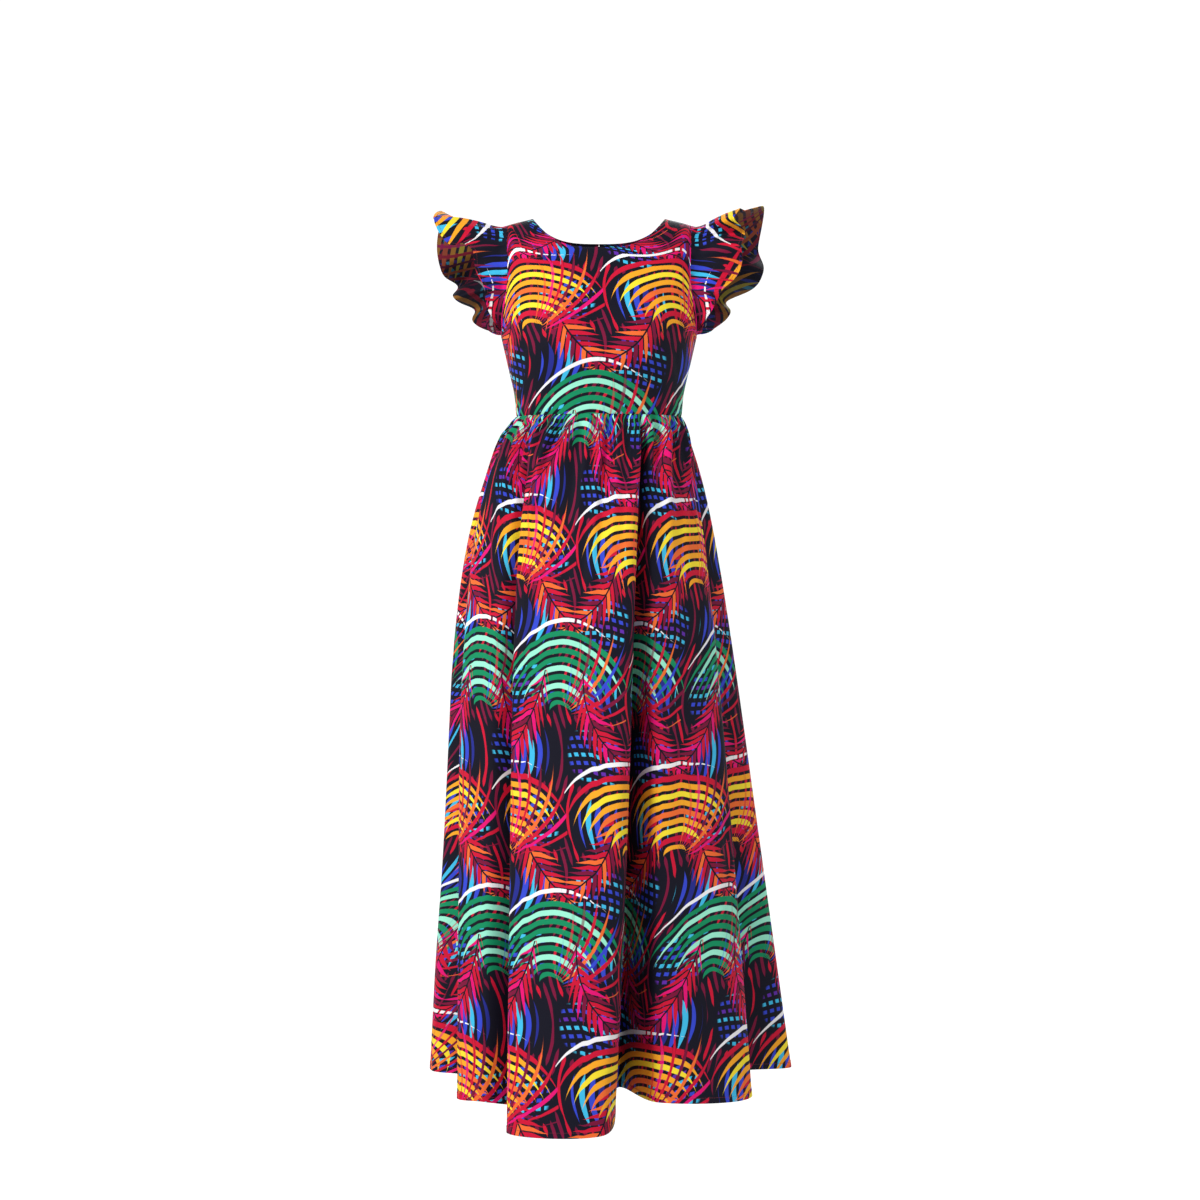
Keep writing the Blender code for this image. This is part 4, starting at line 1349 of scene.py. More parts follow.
@dataclass
class Skirt:
    """The gathered skirt: a front one width wide and a back in two."""

    names: tuple = ("skirt_front", "skirt_back_right", "skirt_back_left")
    waist_line: Outline = Outline(0.131, 0.131, 0.098, 0.088)
    hem_line: Outline = Outline(0.273, 0.296, 0.185, 0.270)
    hip_share: Outline = Outline(0.65, 0.22, 0.42, 0.42)
    hip_reach: float = 0.12
    fold_at_hip: float = 0.25
    fold_start: float = 0.05
    fold_power: float = 1.3
    settle: float = 0.05
    fold_lines: tuple = rows_of(FoldLine, FOLD_PARTS, (
        (-120, -112, -10, 62), (-101, -90, -10, 62), (-90, -64, -75, 55),  # left side
        (-80, -59, -18, 34), (-51, -44, -18, 34), (-43, -29, -85, 16),  # front left
        (-36, -28, 32, 0), (21, 1, 32, 0), (29, 9, -150, 42),  # front middle
        (37, 19, -36, 37), (80, 64, -36, 37), (90, 70, -100, 56),  # front right
        (104, 100, 16, 60), (118, 122, 16, 60), (127, 133, -45, 52),  # right side
        (135, 140, 24, 44), (147, 150, 24, 44), (155, 158, -50, 36),  # back right
        (170, 172, 12, 32), (190, 188, 12, 32), (198, 197, -60, 34),  # back middle
        (205, 205, 30, 36), (214, 216, 30, 36), (220, 224, -60, 42),  # back left
        (226, 232, 20, 46), (232, 240, 20, 46), (236, 244, -45, 54),  # back far left
    ))
    seam_rows: tuple = (2, 11, 18.5)  # fold lines on which the seams lie
    gathers: int = 32
    gather_reach: float = 0.0046
    gather_shift: tuple = (Wave(0.16, 5, 0), Wave(0.10, 11, 0))
    gather_height: tuple = (Wave(0.30, 9, 1), Wave(0.15, 4, 0))
    gather_length: tuple = (Wave(0.05, 7, 0.5), Wave(0.04, 13, 2))
    gather_run: float = 0.13
    gather_fade: float = 1.5
    gather_held: float = 0.30
    gather_free: float = 0.012
    flat_at_zip: float = 10.0
    flat_power: int = 4
    waist_weight: float = 0.6
    solid_columns: tuple = (82, 40, 40)
    finer: int = 6
    even_steps: int = 20
    row_places: tuple = (0, 10, 22, 36, 70, 84, 94)
    row_shares: tuple = (0, 0.018, 0.07, 0.18, 0.80, 0.988, 1.0)
    channel_end: Ramp = (0.116, 0.11)
    top_width: float = 0.58
    middle_turn: float = -7.0
    hem_band: float = 0.010
    hem_raise: float = 0.0005
    hem_stitch: float = 0.86
    seam_turning: float = 0.010
    hem_turning: float = 0.020
    at_waist: float = 0.01  # tucks that start above this are waist tucks
    waist_tuck: TuckKind = TuckKind(0.12, 0.25, 1.6)
    long_tuck: TuckKind = TuckKind(0.45, 0.50, 1)
    first_turn: float = -120  # turns are counted up from here
    tuck_stray: float = 0.0016
    tuck_turns: float = 6
    tuck_spread: float = 0.8
    round_at_waist: float = 0.45
    tucks_from_zip: Ramp = (2, 8)
    tucks: tuple = rows_of(Tuck, TUCK_PARTS, (
        (-112, 4, 160, -40, 50, 10), (-96, 4, 200, 36, 70, 6), (-78, 2, 110, -44, 42, 4),
        (-66, 4, 240, 38, 80, 10), (-50.5, 2, 200, -56, 46, 6), (-39, 4, 120, 36, 50, 2),
        (-26, 2, 140, -40, 42, 3), (-17, 4, 120, 34, 46, 0), (-8, 2, 290, -36, 52, -4),
        (4, 2, 220, -52, 44, 2), (14, 4, 180, 36, 60, 4), (29, 2, 260, -52, 48, 4),
        (40, 2, 170, -40, 42, 6), (50, 4, 220, 40, 64, 6), (59, 2, 180, -46, 46, 6),
        (72, 4, 150, 36, 56, 4), (84, 2, 210, -44, 50, 8), (98, 4, 150, 36, 60, 4),
        (110, 2, 220, -44, 50, -4), (124, 4, 140, 38, 56, 2), (139, 2, 250, -48, 52, 6),
        (151, 4, 170, 40, 60, 0), (163, 2, 130, -40, 46, 4), (197, 2, 150, -42, 48, -4),
        (209, 4, 220, 42, 62, 2), (222, 2, 190, -48, 48, -6), (234, 4, 130, 36, 56, 4),
        (72, 580, 860, -40, 110, -10), (-72, 300, 780, 44, 140, 14), (-22, 340, 920, -40, 150, 10),
        (8, 460, 1020, 36, 160, -8), (50, 320, 860, -42, 150, 10), (64, 640, 1060, 38, 130, 6),
        (-104, 380, 960, -44, 140, -10), (110, 360, 940, -44, 140, 8),
        (141, 300, 840, 40, 140, -10), (176, 440, 1000, -40, 160, 6), (210, 340, 900, 44, 150, 10),
        (228, 500, 1020, -38, 130, -8),
    ))

    def oval(self, line: Outline, turn: Array) -> tuple[Array, Array]:
        """Points of an outline.

        Args:
            line: The outline.
            turn: Turns from centre front, in degrees.

        Returns:
            The points and their outward directions.
        """
        across, along = np.sin(np.radians(turn)), np.cos(np.radians(turn))
        half = np.where(across < 0, line.left, line.right)
        deep = np.where(along > 0, line.front, line.back)
        point = np.stack([half * across, -deep * along], axis=-1)
        return point, unit(np.stack([across / half, -along / deep], axis=-1))

    def outline_at(self, down: float) -> Outline:
        """The plain outline at a share of the skirt's length."""
        quick = (1 - math.exp(-down / self.hip_reach)) / (1 - math.exp(-1 / self.hip_reach))
        sides = zip(self.waist_line, self.hem_line, self.hip_share)
        return Outline(*(a + (b - a) * (hip * quick + (1 - hip) * down) for a, b, hip in sides))

    def fold_depth(self, down: float) -> float:
        """Share of a large fold's depth reached at a share of the skirt's length."""
        at_hip = self.fold_at_hip * (1 - math.exp(-down / self.fold_start))
        return at_hip + (1 - self.fold_at_hip) * down**self.fold_power

    def cloth_places(self) -> Array:
        """Share of the cloth round the skirt at which each fold line lies at the hem."""
        lines = np.array(self.fold_lines)
        point, out = self.oval(self.hem_line, lines[:, 1])
        hem = point + out * lines[:, 2:3]
        lengths = np.linalg.norm(np.roll(hem, -1, axis=0) - hem, axis=1)
        return np.concatenate([[0], np.cumsum(lengths)[:-1]]) / lengths.sum()

    def turns_table(self) -> tuple[Array, Array]:
        """Cloth shares and waist turns of the fold lines over two rounds."""
        places, turns = self.cloth_places(), np.array(table_column(self.fold_lines, "waist"))
        twice = np.concatenate([places, places + 1, [places[0] + 2]])
        return twice, np.concatenate([turns, turns + 360, [turns[0] + 720]])

    def waist_turn(self, share: Array) -> Array:
        """Turn at the waist, in degrees, of a share of the cloth."""
        return np.interp(share, *self.turns_table())

    def share_at(self, turn: float) -> float:
        """Share of the cloth at a turn at the waist, in degrees."""
        shares, turns = self.turns_table()
        return float(np.interp(turn, turns, shares))

    def panel_columns(self, first: float, last: float, count: int) -> Array:
        """Cloth shares of a panel's columns, part way from even at the hem to even at the waist.

        Args:
            first: Share at which the panel begins.
            last: Share at which it ends.
            count: Number of columns.

        Returns:
            The shares.
        """
        share = np.linspace(first, last, self.even_steps * count)
        even = self.waist_weight * self.waist_turn(share) / 360 + (1 - self.waist_weight) * share
        wanted = np.linspace(even[0], even[-1], count, endpoint=False)
        return np.interp(wanted, even, share)

    def waves(self, table: Sequence[Wave], turn: Array) -> Array:
        """Sum of slow waves at a turn round the waist."""
        round_once = np.radians(turn)
        return sum(wave.amount * np.sin(wave.times * round_once + wave.start) for wave in table)

    def gather_height_at(self, turn: Array, down: Array) -> Array:
        """How far the gathers stand out of the cloth.

        Args:
            turn: Turn at the waist, in degrees.
            down: Share of the skirt's length.

        Returns:
            The height.
        """
        phase = self.gathers * turn / 360 + self.waves(self.gather_shift, turn)
        uneven = 1 + self.waves(self.gather_height, turn)
        length = self.gather_run + self.waves(self.gather_length, turn)
        held = self.gather_held + (1 - self.gather_held) * (1 - np.exp(-down / self.gather_free))
        fades = np.exp(-((down / length) ** self.gather_fade))
        from_zip = np.abs(np.mod(turn, 360) - 180)
        flat = 1 - np.exp(-((from_zip / self.flat_at_zip) ** self.flat_power))
        return self.gather_reach * uneven * held * fades * flat * np.sin(2 * math.pi * phase)

    def rows(self) -> Array:
        """Shares of the skirt's length, close together at the gathers and at the hem."""
        return np.interp(np.arange(self.row_places[-1] + 1), self.row_places, self.row_shares)

    def plain_points(self, share: Array) -> Array:
        """Points of the skirt with its large folds, before its gathers.

        Args:
            share: Cloth share of each column.

        Returns:
            The points.
        """
        lines = np.array(self.fold_lines)
        places = self.cloth_places()
        hem = round_through(places, HEM_Z + lines[:, 3], share)
        down = self.rows()
        grid = np.empty((len(share), len(down), 3))
        for row, depth in enumerate(down):
            outline = self.outline_at(depth)
            spread = outline.front - self.waist_line.front
            spread = spread / (self.hem_line.front - self.waist_line.front)
            turn = lines[:, 0] + (lines[:, 1] - lines[:, 0]) * spread
            point, out = self.oval(outline, turn)
            point = point + out * lines[:, 2:3] * self.fold_depth(depth)
            folded = round_through(places, point, share)
            plain, _ = self.oval(outline, self.waist_turn(share))
            settle = math.exp(-((depth / self.settle) ** 2))
            grid[:, row, :2] = folded + (plain - folded) * settle
            grid[:, row, 2] = WAIST_Z + (hem - WAIST_Z) * depth
        return grid

    def tuck_height(self, share: Array, down: Array, around: float) -> Array:
        """How far the listed creases lift or sink the cloth.

        Args:
            share: Cloth share of each column.
            down: Depth of each row below the waist, in metres.
            around: Length of the cloth round the skirt at the hem.

        Returns:
            Heights for each column and row.
        """
        height = np.zeros((len(share), len(down)))
        to_hem = down / (WAIST_Z - HEM_Z)
        scale = around * (self.round_at_waist + (1 - self.round_at_waist) * to_hem)
        for number, tuck in enumerate(self.tucks):
            kind = self.waist_tuck if tuck.start < self.at_waist else self.long_tuck
            along = (down - tuck.start) / (tuck.end - tuck.start)
            middle = self.share_at((tuck.turn - self.first_turn) % 360 + self.first_turn)
            stray = self.tuck_stray * np.sin(self.tuck_turns * along + number)
            from_middle = share[:, None] - middle - (tuck.lean * along + stray) / around
            aside = ((from_middle + 0.5) % 1 - 0.5) * scale
            fades = smooth(0, kind.rise, along) * smooth(1, kind.fall, along)
            width = tuck.width * (1 + self.tuck_spread * np.clip(along, 0, 1))
            height += tuck.out * kind.deepen * fades * np.exp(-((aside / width) ** 2))
        return height

    def ring(self) -> tuple[ClothGrid, Array]:
        """The whole skirt round as one grid that closes on itself, and its directions round."""
        places = self.cloth_places()
        ends = np.interp(self.seam_rows, np.arange(len(places)), places)
        panels = zip(ends, [*ends[1:], ends[0] + 1], self.solid_columns)
        share = np.concatenate([self.panel_columns(a, b, self.finer * n) for a, b, n in panels])
        down = self.rows()
        grid = self.plain_points(share)
        around = self.directions(grid)
        outward = unit(np.stack([around[..., 1], -around[..., 0], 0 * around[..., 0]], axis=-1))
        turn = self.waist_turn(share)
        small = self.gather_height_at(turn[:, None], down[None, :])
        whole = float(run_lengths(np.concatenate([grid, grid[:1]]), 0)[-1, -1])
        tucks = self.tuck_height(share, down * (WAIST_Z - HEM_Z), whole)
        tucks = tucks * smooth(*self.tucks_from_zip, np.abs(np.mod(turn, 360) - 180)[:, None])
        grid = grid + outward * (small + tucks)[..., None]
        around = self.directions(grid)
        normals = unit(np.cross(np.gradient(grid, axis=1), around))
        normals[:, 0, 2] = 0
        normals[:, 0] = unit(normals[:, 0])
        lengths = run_lengths(np.concatenate([grid, grid[:1]]), 0)
        widths = self.top_width + (1 - self.top_width) * down
        part = lengths[:-1] / lengths[-1:]
        front = self.share_at(self.middle_turn)
        middle = np.array([np.interp(front, share, row) for row in part.T])
        across = (part - middle[None, :]) * (widths * lengths[-1, -1])[None, :]
        flat = np.stack([across, run_lengths(grid, 1)], axis=-1)
        return ClothGrid(grid, normals, flat), around

    def directions(self, grid: Array) -> Array:
        """Directions to the right along a grid that closes round on itself."""
        return unit(np.roll(grid, -1, axis=0) - np.roll(grid, 1, axis=0))

    def panels(self) -> list[ClothGrid]:
        """The three panels, with the zip's channel open and their seams and hem finished."""
        ring, around = self.ring()
        total = len(ring.points)
        starts = self.finer * np.cumsum([0, *self.solid_columns])
        drawn = CHANNEL_HALF * smooth(*self.channel_end, self.rows())
        grids = []
        for first, last in zip(starts, starts[1:]):
            columns = np.arange(first, last + 1) % total
            flat = ring.flat[columns].copy()
            if last == total:
                flat[-1] = ring.flat[-1] + (ring.flat[-1] - ring.flat[-2])
            grid = ClothGrid(ring.points[columns].copy(), ring.normals[columns], flat)
            for edge, column, inwards in ((0, first, 1), (-1, last, -1)):
                if column == starts[2]:
                    grid.points[edge] += inwards * around[columns[edge]] * drawn[:, None]
            grids.append(self.finished(grid))
        return grids

    def finished(self, grid: ClothGrid) -> ClothGrid:
        """A panel with its seams drawn in and a narrow turned hem.

        Args:
            grid: The plain panel.

        Returns:
            The finished one.
        """
        from_left = run_lengths(grid.points, 0)
        from_top = run_lengths(grid.points, 1)
        from_hem = from_top[:, -1:] - from_top
        height = dip(from_left) + dip(from_left[-1:] - from_left) + dip(from_top)
        height += self.hem_raise * smooth(self.hem_band, self.hem_band - TURN_UP, from_hem)
        height[:, 0] = 0
        return grid.raised(height)

    def flat_size(self, grid: ClothGrid) -> tuple[float, float, float]:
        """The cut of a panel with its turnings.

        Args:
            grid: The panel.

        Returns:
            Its width at the hem, length and area, in metres.
        """
        hem = float(run_lengths(grid.points, 0)[-1, -1]) + 2 * self.seam_turning
        length = float(run_lengths(grid.points, 1)[:, -1].mean())
        length = length + self.seam_turning + self.hem_turning
        return hem, length, hem * length * (1 + self.top_width) / 2

    def stitch_lines(self, grids: Sequence[ClothGrid]) -> tuple[list[Array], list[Array]]:
        """Stitch lines of the skirt.

        Args:
            grids: The panels.

        Returns:
            The lines above the hem, and those beside the zip.
        """
        above_hem, by_zip = [], []
        for grid in grids:
            runs = run_lengths(grid.points, 1)
            wanted = runs[:, -1] - self.hem_band * self.hem_stitch
            above_hem.append(places_along(runs, grid.stitched(), wanted))
        rows = np.flatnonzero(self.rows() < self.channel_end[1])[1:]
        for points in (grids[1].stitched()[::-1], grids[2].stitched()):
            runs = run_lengths(points, 0).T[rows]
            by_zip.append(places_along(runs, points.swapaxes(0, 1)[rows], ZIP_STITCH))
        return above_hem, by_zip


# ---- zip tape


@dataclass
class ZipTape:
    """The woven tape behind the zip's channel, with its raised coil.  Its solid gives its path."""

    half: float = 0.0100
    coil_top_half: float = 0.0006
    coil_deep: float = 0.0016
    near: float = 0.00004
    lift: float = 0.00006
    edge_round: float = 0.00016
    round_steps: int = 2
    decimals: int = 5
    rounded_angle: float = 30  # degrees past which an edge is rounded

    def middle_line(self, node: Object) -> Array:
        """The line down the top of the coil, just above it.

        Args:
            node: The tape's solid.

        Returns:
            Points from the neck down.
        """
        points = np.round([v.co[:] for v in node.data.vertices], self.decimals)
        points = np.unique(points, axis=0)
        gaps = points[None] - points[:, None]
        across = np.abs(gaps[..., 0] - 2 * self.coil_top_half) < self.near
        level = np.abs(gaps[..., 1:]).max(axis=-1) < self.near
        first, second = np.nonzero(across & level)
        middles = (points[first] + points[second]) / 2
        beside = np.abs(middles[:, None, 2] - middles[None, :, 2]) < self.coil_deep
        outermost = np.where(beside, middles[None, :, 1], -np.inf).max(axis=1)
        line = middles[middles[:, 1] > outermost - self.near]
        line = line[np.argsort(-line[:, 2])]
        line = line[np.append(True, np.diff(line[:, 2]) < -self.near)]
        tangent = unit(np.gradient(line, axis=0))
        outward = np.stack([0 * tangent[:, 0], -tangent[:, 2], tangent[:, 1]], axis=1)
        return line + outward * self.lift

    def made(self, name: str, node: Object) -> Object:
        """The tape in its solid's form, with its edges and its coil rounded.

        Args:
            name: Name of the object.
            node: The tape's solid.

        Returns:
            The object.
        """
        mesh = node.data.copy()
        mesh.name = name
        form = bmesh.new()
        form.from_mesh(mesh)
        bmesh.ops.remove_doubles(form, verts=form.verts, dist=SAME_PLACE)
        bmesh.ops.recalc_face_normals(form, faces=form.faces)
        angle = math.radians(self.rounded_angle)
        sharp = [edge for edge in form.edges if edge.calc_face_angle(0) > angle]
        bmesh.ops.bevel(
            form, geom=sharp, offset=self.edge_round, segments=self.round_steps, affect="EDGES"
        )
        form.to_mesh(mesh)
        form.free()
        mesh.shade_smooth()
        return shown(name, mesh)


# ---- ruffles


class Rib(NamedTuple):
    """A rib of a ruffle: its place round the armhole, width, angles and bend, in degrees."""

    along: float
    width: float
    forward: float
    up: float
    fall: float


RIB_PARTS = (MILLI, MILLI, 1, 1, 1)


@dataclass
class Ruffle:
    """A ruffle gathered into one armhole."""

    side: Side
    ribs: tuple
    bodice: Bodice
    arm_seam: float = 0.0004
    straight: float = 0.0025
    turned_by: float = 0.25
    columns: int = 312
    rows: int = 34
    wall: float = 0.0014
    pleats: int = 30
    pleat_reach: float = 0.0021
    pleat_shift: tuple = (Wave(0.35, 23, 0), Wave(0.2, 41, 1))
    pleat_height: Wave = Wave(0.35, 17, 0.6)
    pleat_rise: Ramp = (0.0015, 0.008)
    pleat_end: Ramp = (-0.004, 0.016)
    pleat_fade: float = 0.45
    pleat_fade_least: float = 0.01
    pleat_least: float = 0.35
    full_from: Ramp = (0.012, 0.05)
    hem_band: float = 0.006
    hem_raise: float = 0.0004
    hem_stitch: float = 0.8
    stitched_from: float = 0.016
    flat_row: float = 2 / 3

    @property
    def name(self) -> str:
        """Name of its solid."""
        return f"ruffle_{self.side.name.lower()}"

    def edge_frame(self, along: Array) -> list[Array]:
        """The armhole's edge.

        Args:
            along: Places along it, as shares.

        Returns:
            Points there, directions out of it, and directions off the bodice's face.
        """
        arm = self.bodice.arm_rows
        (front, front_off), (back, back_off) = (
            [each[-1, :arm] for each in self.bodice.plain_half(face, self.side)] for face in Face
        )
        edge = np.concatenate([front[::-1], back[1:]])
        off = np.concatenate([front_off[::-1], back_off[1:]])
        edge[arm - 1, 1] = 0
        forward = unit(np.gradient(edge, axis=0))
        places = np.linspace(0, 1, len(edge))
        edge, off, forward = (
            np.stack([np.interp(along, places, column) for column in each.T], axis=1)
            for each in (edge, off, forward)
        )
        return edge, unit(np.cross(forward, off)) * self.side.value, unit(off)

    def rib(self, name: str, along: Array) -> Array:
        """One measure of the ribs at places round the armhole."""
        return through(table_column(self.ribs, "along"), table_column(self.ribs, name), along)

    def plain_points(self, along: Array) -> tuple[Array, Array]:
        """The middle of the ruffle's cloth, before its pleats.

        Args:
            along: Places round the armhole, as shares.

        Returns:
            Points from the armhole's edge outwards, and directions off the bodice there.
        """
        edge, out, off = self.edge_frame(along)
        width = self.rib("width", along)[:, None]
        forward, up, fall = (np.radians(self.rib(n, along)) for n in ("forward", "up", "fall"))
        level = self.side.value * np.cos(forward) * np.cos(up)
        lean = np.stack([level, -np.sin(forward) * np.cos(up), np.sin(up)], axis=1)
        grid = [edge - off * self.wall / 2 + out * self.arm_seam]
        grid.append(grid[0] + out * self.straight)
        across = np.linspace(0, 1, self.rows)
        for share in (across[1:] + across[:-1]) / 2:
            turned = min(share / self.turned_by, 1)
            step = unit(out * (1 - turned) + lean * turned)
            bend = (fall * share)[:, None]
            step = unit(step * np.cos(bend) - np.array([0, 0, 1]) * np.sin(bend))
            grid.append(grid[-1] + step * (width - self.straight) / (self.rows - 1))
        return np.stack(grid, axis=1), off

    def pleat_height_at(self, along: Array, from_edge: Array) -> Array:
        """How far the pleats stand out of the cloth.

        Args:
            along: Places round the armhole, as shares.
            from_edge: Distance of each point from the armhole's edge.

        Returns:
            Heights for each column and row.
        """
        whole = from_edge[:, -1:]
        phase = self.pleats * along
        for wave in self.pleat_shift:
            phase = phase + wave.amount * np.sin(wave.times * along + wave.start)
        uneven = self.pleat_height
        uneven = 1 + uneven.amount * np.sin(uneven.times * along + uneven.start)
        ripple = (uneven * np.sin(2 * math.pi * phase))[:, None]
        rise = smooth(*self.pleat_rise, from_edge) * smooth(*self.pleat_end, whole - from_edge)
        fades = np.exp(-from_edge / np.maximum(self.pleat_fade * whole, self.pleat_fade_least))
        full = self.pleat_least + (1 - self.pleat_least) * smooth(*self.full_from, whole)
        return self.pleat_reach * ripple * rise * fades * full

    def cloth(self) -> ClothGrid:
        """The ruffle's outer points, from the armhole's edge outwards."""
        along = np.linspace(self.ribs[0].along, self.ribs[-1].along, self.columns + 1)
        points, off = self.plain_points(along)
        normals = grid_normals(points) * self.side.value
        normals[:, 0] = off
        from_edge = run_lengths(points, 1)
        from_rim = from_edge[:, -1:] - from_edge
        height = self.pleat_height_at(along, from_edge) + CLOTH / 2
        height = height + self.hem_raise * smooth(self.hem_band, self.hem_band - TURN_UP, from_rim)
        points = points + normals * height[..., None]
        normals = grid_normals(points) * self.side.value
        normals[:, 0] = off
        runs = run_lengths(points, 0)
        run = runs[:, int(runs.shape[1] * self.flat_row), None]
        flat = np.stack([np.broadcast_to(run, from_edge.shape), from_edge], axis=-1)
        return ClothGrid(points, normals, flat, self.side is Side.LEFT)

    def flat_size(self, grid: ClothGrid) -> tuple[float, float, float]:
        """Length, width and area of the strip that the ruffle is cut from, in metres."""
        rim = float(run_lengths(grid.points, 0)[-1, -1])
        widths = run_lengths(grid.points, 1)[:, -1]
        return rim, float(widths.max()), rim * float(widths.mean())

    def stitch_line(self, grid: ClothGrid) -> Array:
        """The stitch line inside its outer edge.

        Args:
            grid: The ruffle.

        Returns:
            Points of the line.
        """
        runs = run_lengths(grid.points, 1)
        wide = runs[:, -1] > self.stitched_from
        wanted = runs[wide, -1] - self.hem_band * self.hem_stitch
        return places_along(runs[wide], grid.stitched()[wide], wanted)


RIGHT_RIBS = rows_of(Rib, RIB_PARTS, (
    (30, 10, 20, 10, 0), (100, 20, 45, 0, 0), (170, 34, 10, -5, 0), (240, 56, 35, -8, 5),
    (310, 78, 5, 0, 10), (380, 88, 30, 8, 10), (440, 86, 10, 12, 15), (490, 92, 48, 22, 20),
    (540, 130, -5, 27, 0), (600, 128, -30, 18, 20), (670, 120, 0, 5, 22), (750, 92, -50, 0, 15),
    (830, 66, -15, 0, 10), (910, 46, -45, 5, 5), (970, 18, -20, 10, 0),
))
LEFT_RIBS = rows_of(Rib, RIB_PARTS, (
    (30, 10, 20, 10, 0), (100, 18, 42, 0, 0), (170, 30, 10, -5, 0), (240, 42, 35, -5, 0),
    (310, 52, 5, 0, 0), (370, 58, 20, 5, 8), (410, 70, 4, 10, 22), (455, 96, 12, 14, 42),
    (500, 118, 10, 22, 25), (550, 120, -18, 27, 0), (610, 118, -10, 15, 45),
    (670, 112, -42, 5, 30), (730, 95, -10, 0, 25), (800, 75, -45, 0, 10), (870, 55, -15, 0, 5),
    (930, 34, -45, 5, 0), (970, 12, -20, 10, 0),
))


# ---- assembly


def cotton(name: str, shift: tuple[float, float] = (0.0, 0.0)) -> list[Material]:
    """A printed cotton's right side, and its wrong side darkened with painted shade."""
    wrong = PrintedCotton(f"{name}_wrong_side", True, shift)
    return [PrintedCotton(name, False, shift).material(), wrong.material()]


@dataclass
class Finishes:
    """Every material of the dress."""

    cloth: list[Material]
    ruffle: list[Material]
    thread: Material
    hem_thread: Material
    tape: Material
    metal: Material

    @classmethod
    def made(cls) -> "Finishes":
        """Makes the materials."""
        return cls(
            cotton("print_cotton"),
            cotton("ruffle_cotton", (0.06, 0.11)),
            Yarn("seam_thread", linear(38, 34, 62), linear(18, 16, 34)).material(),
            Yarn("hem_thread", linear(150, 28, 52), linear(92, 14, 34)).material(),
            Yarn("tape_weave", linear(34, 34, 62), linear(14, 14, 30), 1400.0).material(),
            PaintedMetal("slider_metal", linear(40, 40, 66), linear(150, 152, 168)).material(),
        )


def put_on(piece: Object, materials: Sequence[Material]) -> None:
    """Dresses a piece with its materials, and lets it ride on the dress.

    Args:
        piece: The object.
        materials: Its materials.
    """
    if piece.data.materials:
        piece.data.materials.clear()
    for material in materials:
        piece.data.materials.append(material)
    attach(piece, "dress")
    LOG.info("%s: %d faces", piece.name, len(piece.data.polygons))


def stitched(name: str, lines: Sequence[Array], thread: Material) -> Object:
    """Stitches of a thread along lines, dressed as a piece."""
    piece = StitchRun().made(name, lines, thread)
    put_on(piece, [thread])
    return piece


@dataclass
class Dress:
    """The whole dress."""

    finishes: Finishes
    bodice: Bodice = field(default_factory=Bodice)
    skirt: Skirt = field(default_factory=Skirt)

    def build_bodice(self) -> None:
        """The bodice's three panels and the stitching on them."""
        bodice, thread = self.bodice, self.finishes.thread
        neck = stitched("neck_stitches", bodice.neck_lines(), thread)
        beside = stitched("zip_stitches", bodice.zip_lines(), thread)
        for piece, size, on_it in (
            (bodice.front(), bodice.front_size, [neck]),
            *((bodice.back(side), bodice.back_size, [beside, neck]) for side in Side),
        ):
            put_on(piece, self.finishes.cloth)
            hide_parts(piece.name.removesuffix("_cloth"))

    def build_skirt(self) -> None:
        """The skirt's three panels and the stitching at their hem."""
        skirt = self.skirt
        grids = skirt.panels()
        above_hem, by_zip = skirt.stitch_lines(grids)
        hem = stitched("hem_stitches", above_hem, self.finishes.hem_thread)
        beside = stitched("skirt_zip_stitches", by_zip, self.finishes.thread)
        for name, grid in zip(skirt.names, grids):
            piece = cloth_shell(f"{name}_cloth", [grid])
            put_on(piece, self.finishes.cloth)
            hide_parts(name)
            width, length, area = skirt.flat_size(grid)

    def build_ruffles(self) -> None:
        """The two armhole ruffles with their stitching."""
        for side, ribs in ((Side.LEFT, LEFT_RIBS), (Side.RIGHT, RIGHT_RIBS)):
            ruffle = Ruffle(side, ribs, self.bodice)
            grid, name = ruffle.cloth(), ruffle.name
            piece = cloth_shell(f"{name}_cloth", [grid])
            put_on(piece, self.finishes.ruffle)
            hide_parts(name)
            line = ruffle.stitch_line(grid)
            stitches = stitched(f"{name}_stitches", [line], self.finishes.hem_thread)

    def build_zip(self) -> None:
        """The zip's finishes, and its teeth along the raised middle of the tape."""
        nodes, metal = frame["nodes"], self.finishes.metal
        for name in ("zip_slider", "zip_pull"):
            nodes[name].data.materials.clear()
            nodes[name].data.materials.append(metal)
        zip_tape = ZipTape()
        line = zip_tape.middle_line(nodes["zip_tape"])
        teeth = ZipTeeth().made("zip_teeth", line, metal)
        put_on(teeth, [metal])
        tape = zip_tape.made("zip_tape_cloth", nodes["zip_tape"])
        put_on(tape, [self.finishes.tape])
        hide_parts("zip_tape")


# ---- studio


class Light(NamedTuple):
    """A soft square light: its place, the length of its sides and its power in watts."""

    name: str
    place: tuple[float, float, float]
    size: float
    power: float


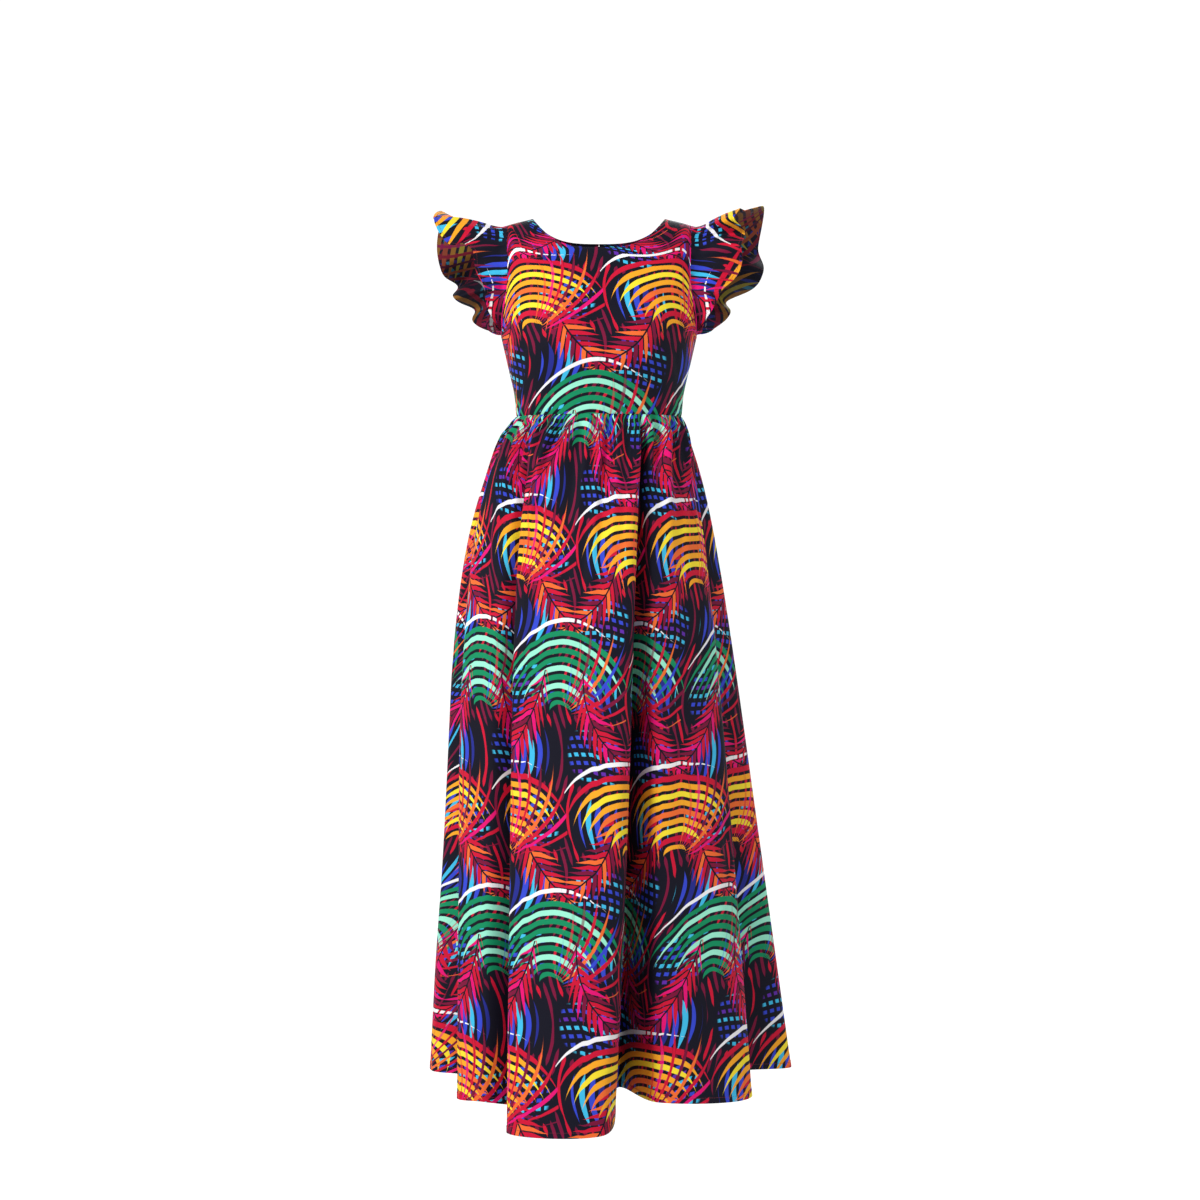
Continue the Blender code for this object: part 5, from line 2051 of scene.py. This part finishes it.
@dataclass(frozen=True)
class Studio:
    """The camera, the plain pale floor and the soft lights."""

    camera_place: tuple = (0.0016, -4.5, -0.596)
    lens: float = 85.23
    sensor: float = 36.0
    floor_z: float = -1.475
    floor_rings: tuple = (0.001, 2.0, 4.0)
    floor_radius: float = 6.0
    floor_sides: int = 96
    bowl_round: float = 2.5
    bowl_rings: int = 25
    bowl_height: float = 8.0
    paper_glow: float = 1.02
    paper_grey: float = 0.05
    paper_rough: float = 0.9
    aim: tuple = (0.0, 0.0, -0.6)
    sky: float = 0.62
    lamps: tuple = (
        Light("key_light", (-3.0, -3.0, 0.9), 1.2, 185),
        Light("fill_light", (2.8, -3.2, 0.4), 2.4, 48),
        Light("back_light", (0.8, 2.6, 1.6), 2.0, 95),
    )

    def camera(self) -> None:
        """A level camera in front of the dress."""
        data = bpy.data.cameras.new("camera")
        data.lens, data.sensor_width = self.lens, self.sensor
        made = shown("camera", data)
        made.location = self.camera_place
        made.rotation_euler = (math.pi / 2, 0, 0)
        bpy.context.scene.camera = made

    def paper(self) -> Material:
        """Plain white paper."""
        finish = Finish("studio_paper")
        shader = finish.tree.nodes["Principled BSDF"]
        shader.inputs["Base Color"].default_value = (*[self.paper_grey] * 3, 1)
        shader.inputs["Emission Color"].default_value = (1, 1, 1, 1)
        looks = {"Roughness": self.paper_rough, "Emission Strength": self.paper_glow}
        return finish.finished(looks)

    def floor(self) -> None:
        """A pale round floor that curves up into a backdrop all round."""
        rise = np.linspace(0, math.pi / 2, self.bowl_rings)
        reach = self.floor_radius + self.bowl_round * np.sin(rise)
        height = self.floor_z + self.bowl_round * (1 - np.cos(rise))
        flat, top = [self.floor_z] * len(self.floor_rings), self.floor_z + self.bowl_height
        reach = np.concatenate([self.floor_rings, reach, reach[-1:]])
        height = np.concatenate([flat, height, [top]])
        round_once = np.linspace(0, 2 * math.pi, self.floor_sides + 1)[:, None]
        columns = [reach * np.cos(round_once), reach * np.sin(round_once), height + 0 * round_once]
        points = np.stack(columns, axis=-1)
        mesh = bpy.data.meshes.new("studio_floor")
        numbers = np.arange(points[..., 0].size).reshape(points.shape[:2])
        mesh.from_pydata(points.reshape(-1, 3).tolist(), [], grid_quads(numbers)[:, ::-1].tolist())
        mesh.shade_smooth()
        made = shown("studio_floor", mesh)
        made.visible_diffuse = False
        mesh.materials.append(self.paper())

    def lights(self) -> None:
        """Key, fill, back and surrounding light."""
        for lamp in self.lamps:
            data = bpy.data.lights.new(lamp.name, "AREA")
            data.shape, data.size, data.energy = "SQUARE", lamp.size, lamp.power
            made = shown(lamp.name, data)
            made.location = lamp.place
            away = np.array(lamp.place) - np.array(self.aim)
            flat = math.hypot(away[0], away[1])
            made.rotation_euler = (math.atan2(flat, away[2]), 0, math.atan2(away[0], -away[1]))
        world = bpy.data.worlds.new("studio_world")
        world.use_nodes = True
        shade = world.node_tree.nodes["Background"]
        shade.inputs["Color"].default_value = (1, 1, 1, 1)
        shade.inputs["Strength"].default_value = self.sky
        bpy.context.scene.world = world
        bpy.context.scene.view_settings.view_transform = "Standard"


def main() -> None:
    """Builds the studio and the dress in order."""
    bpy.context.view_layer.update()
    studio = Studio()
    studio.camera()
    studio.floor()
    studio.lights()
    dress = Dress(Finishes.made())
    dress.build_bodice()
    dress.build_skirt()
    dress.build_ruffles()
    dress.build_zip()


if __name__ == "__main__":
    main()
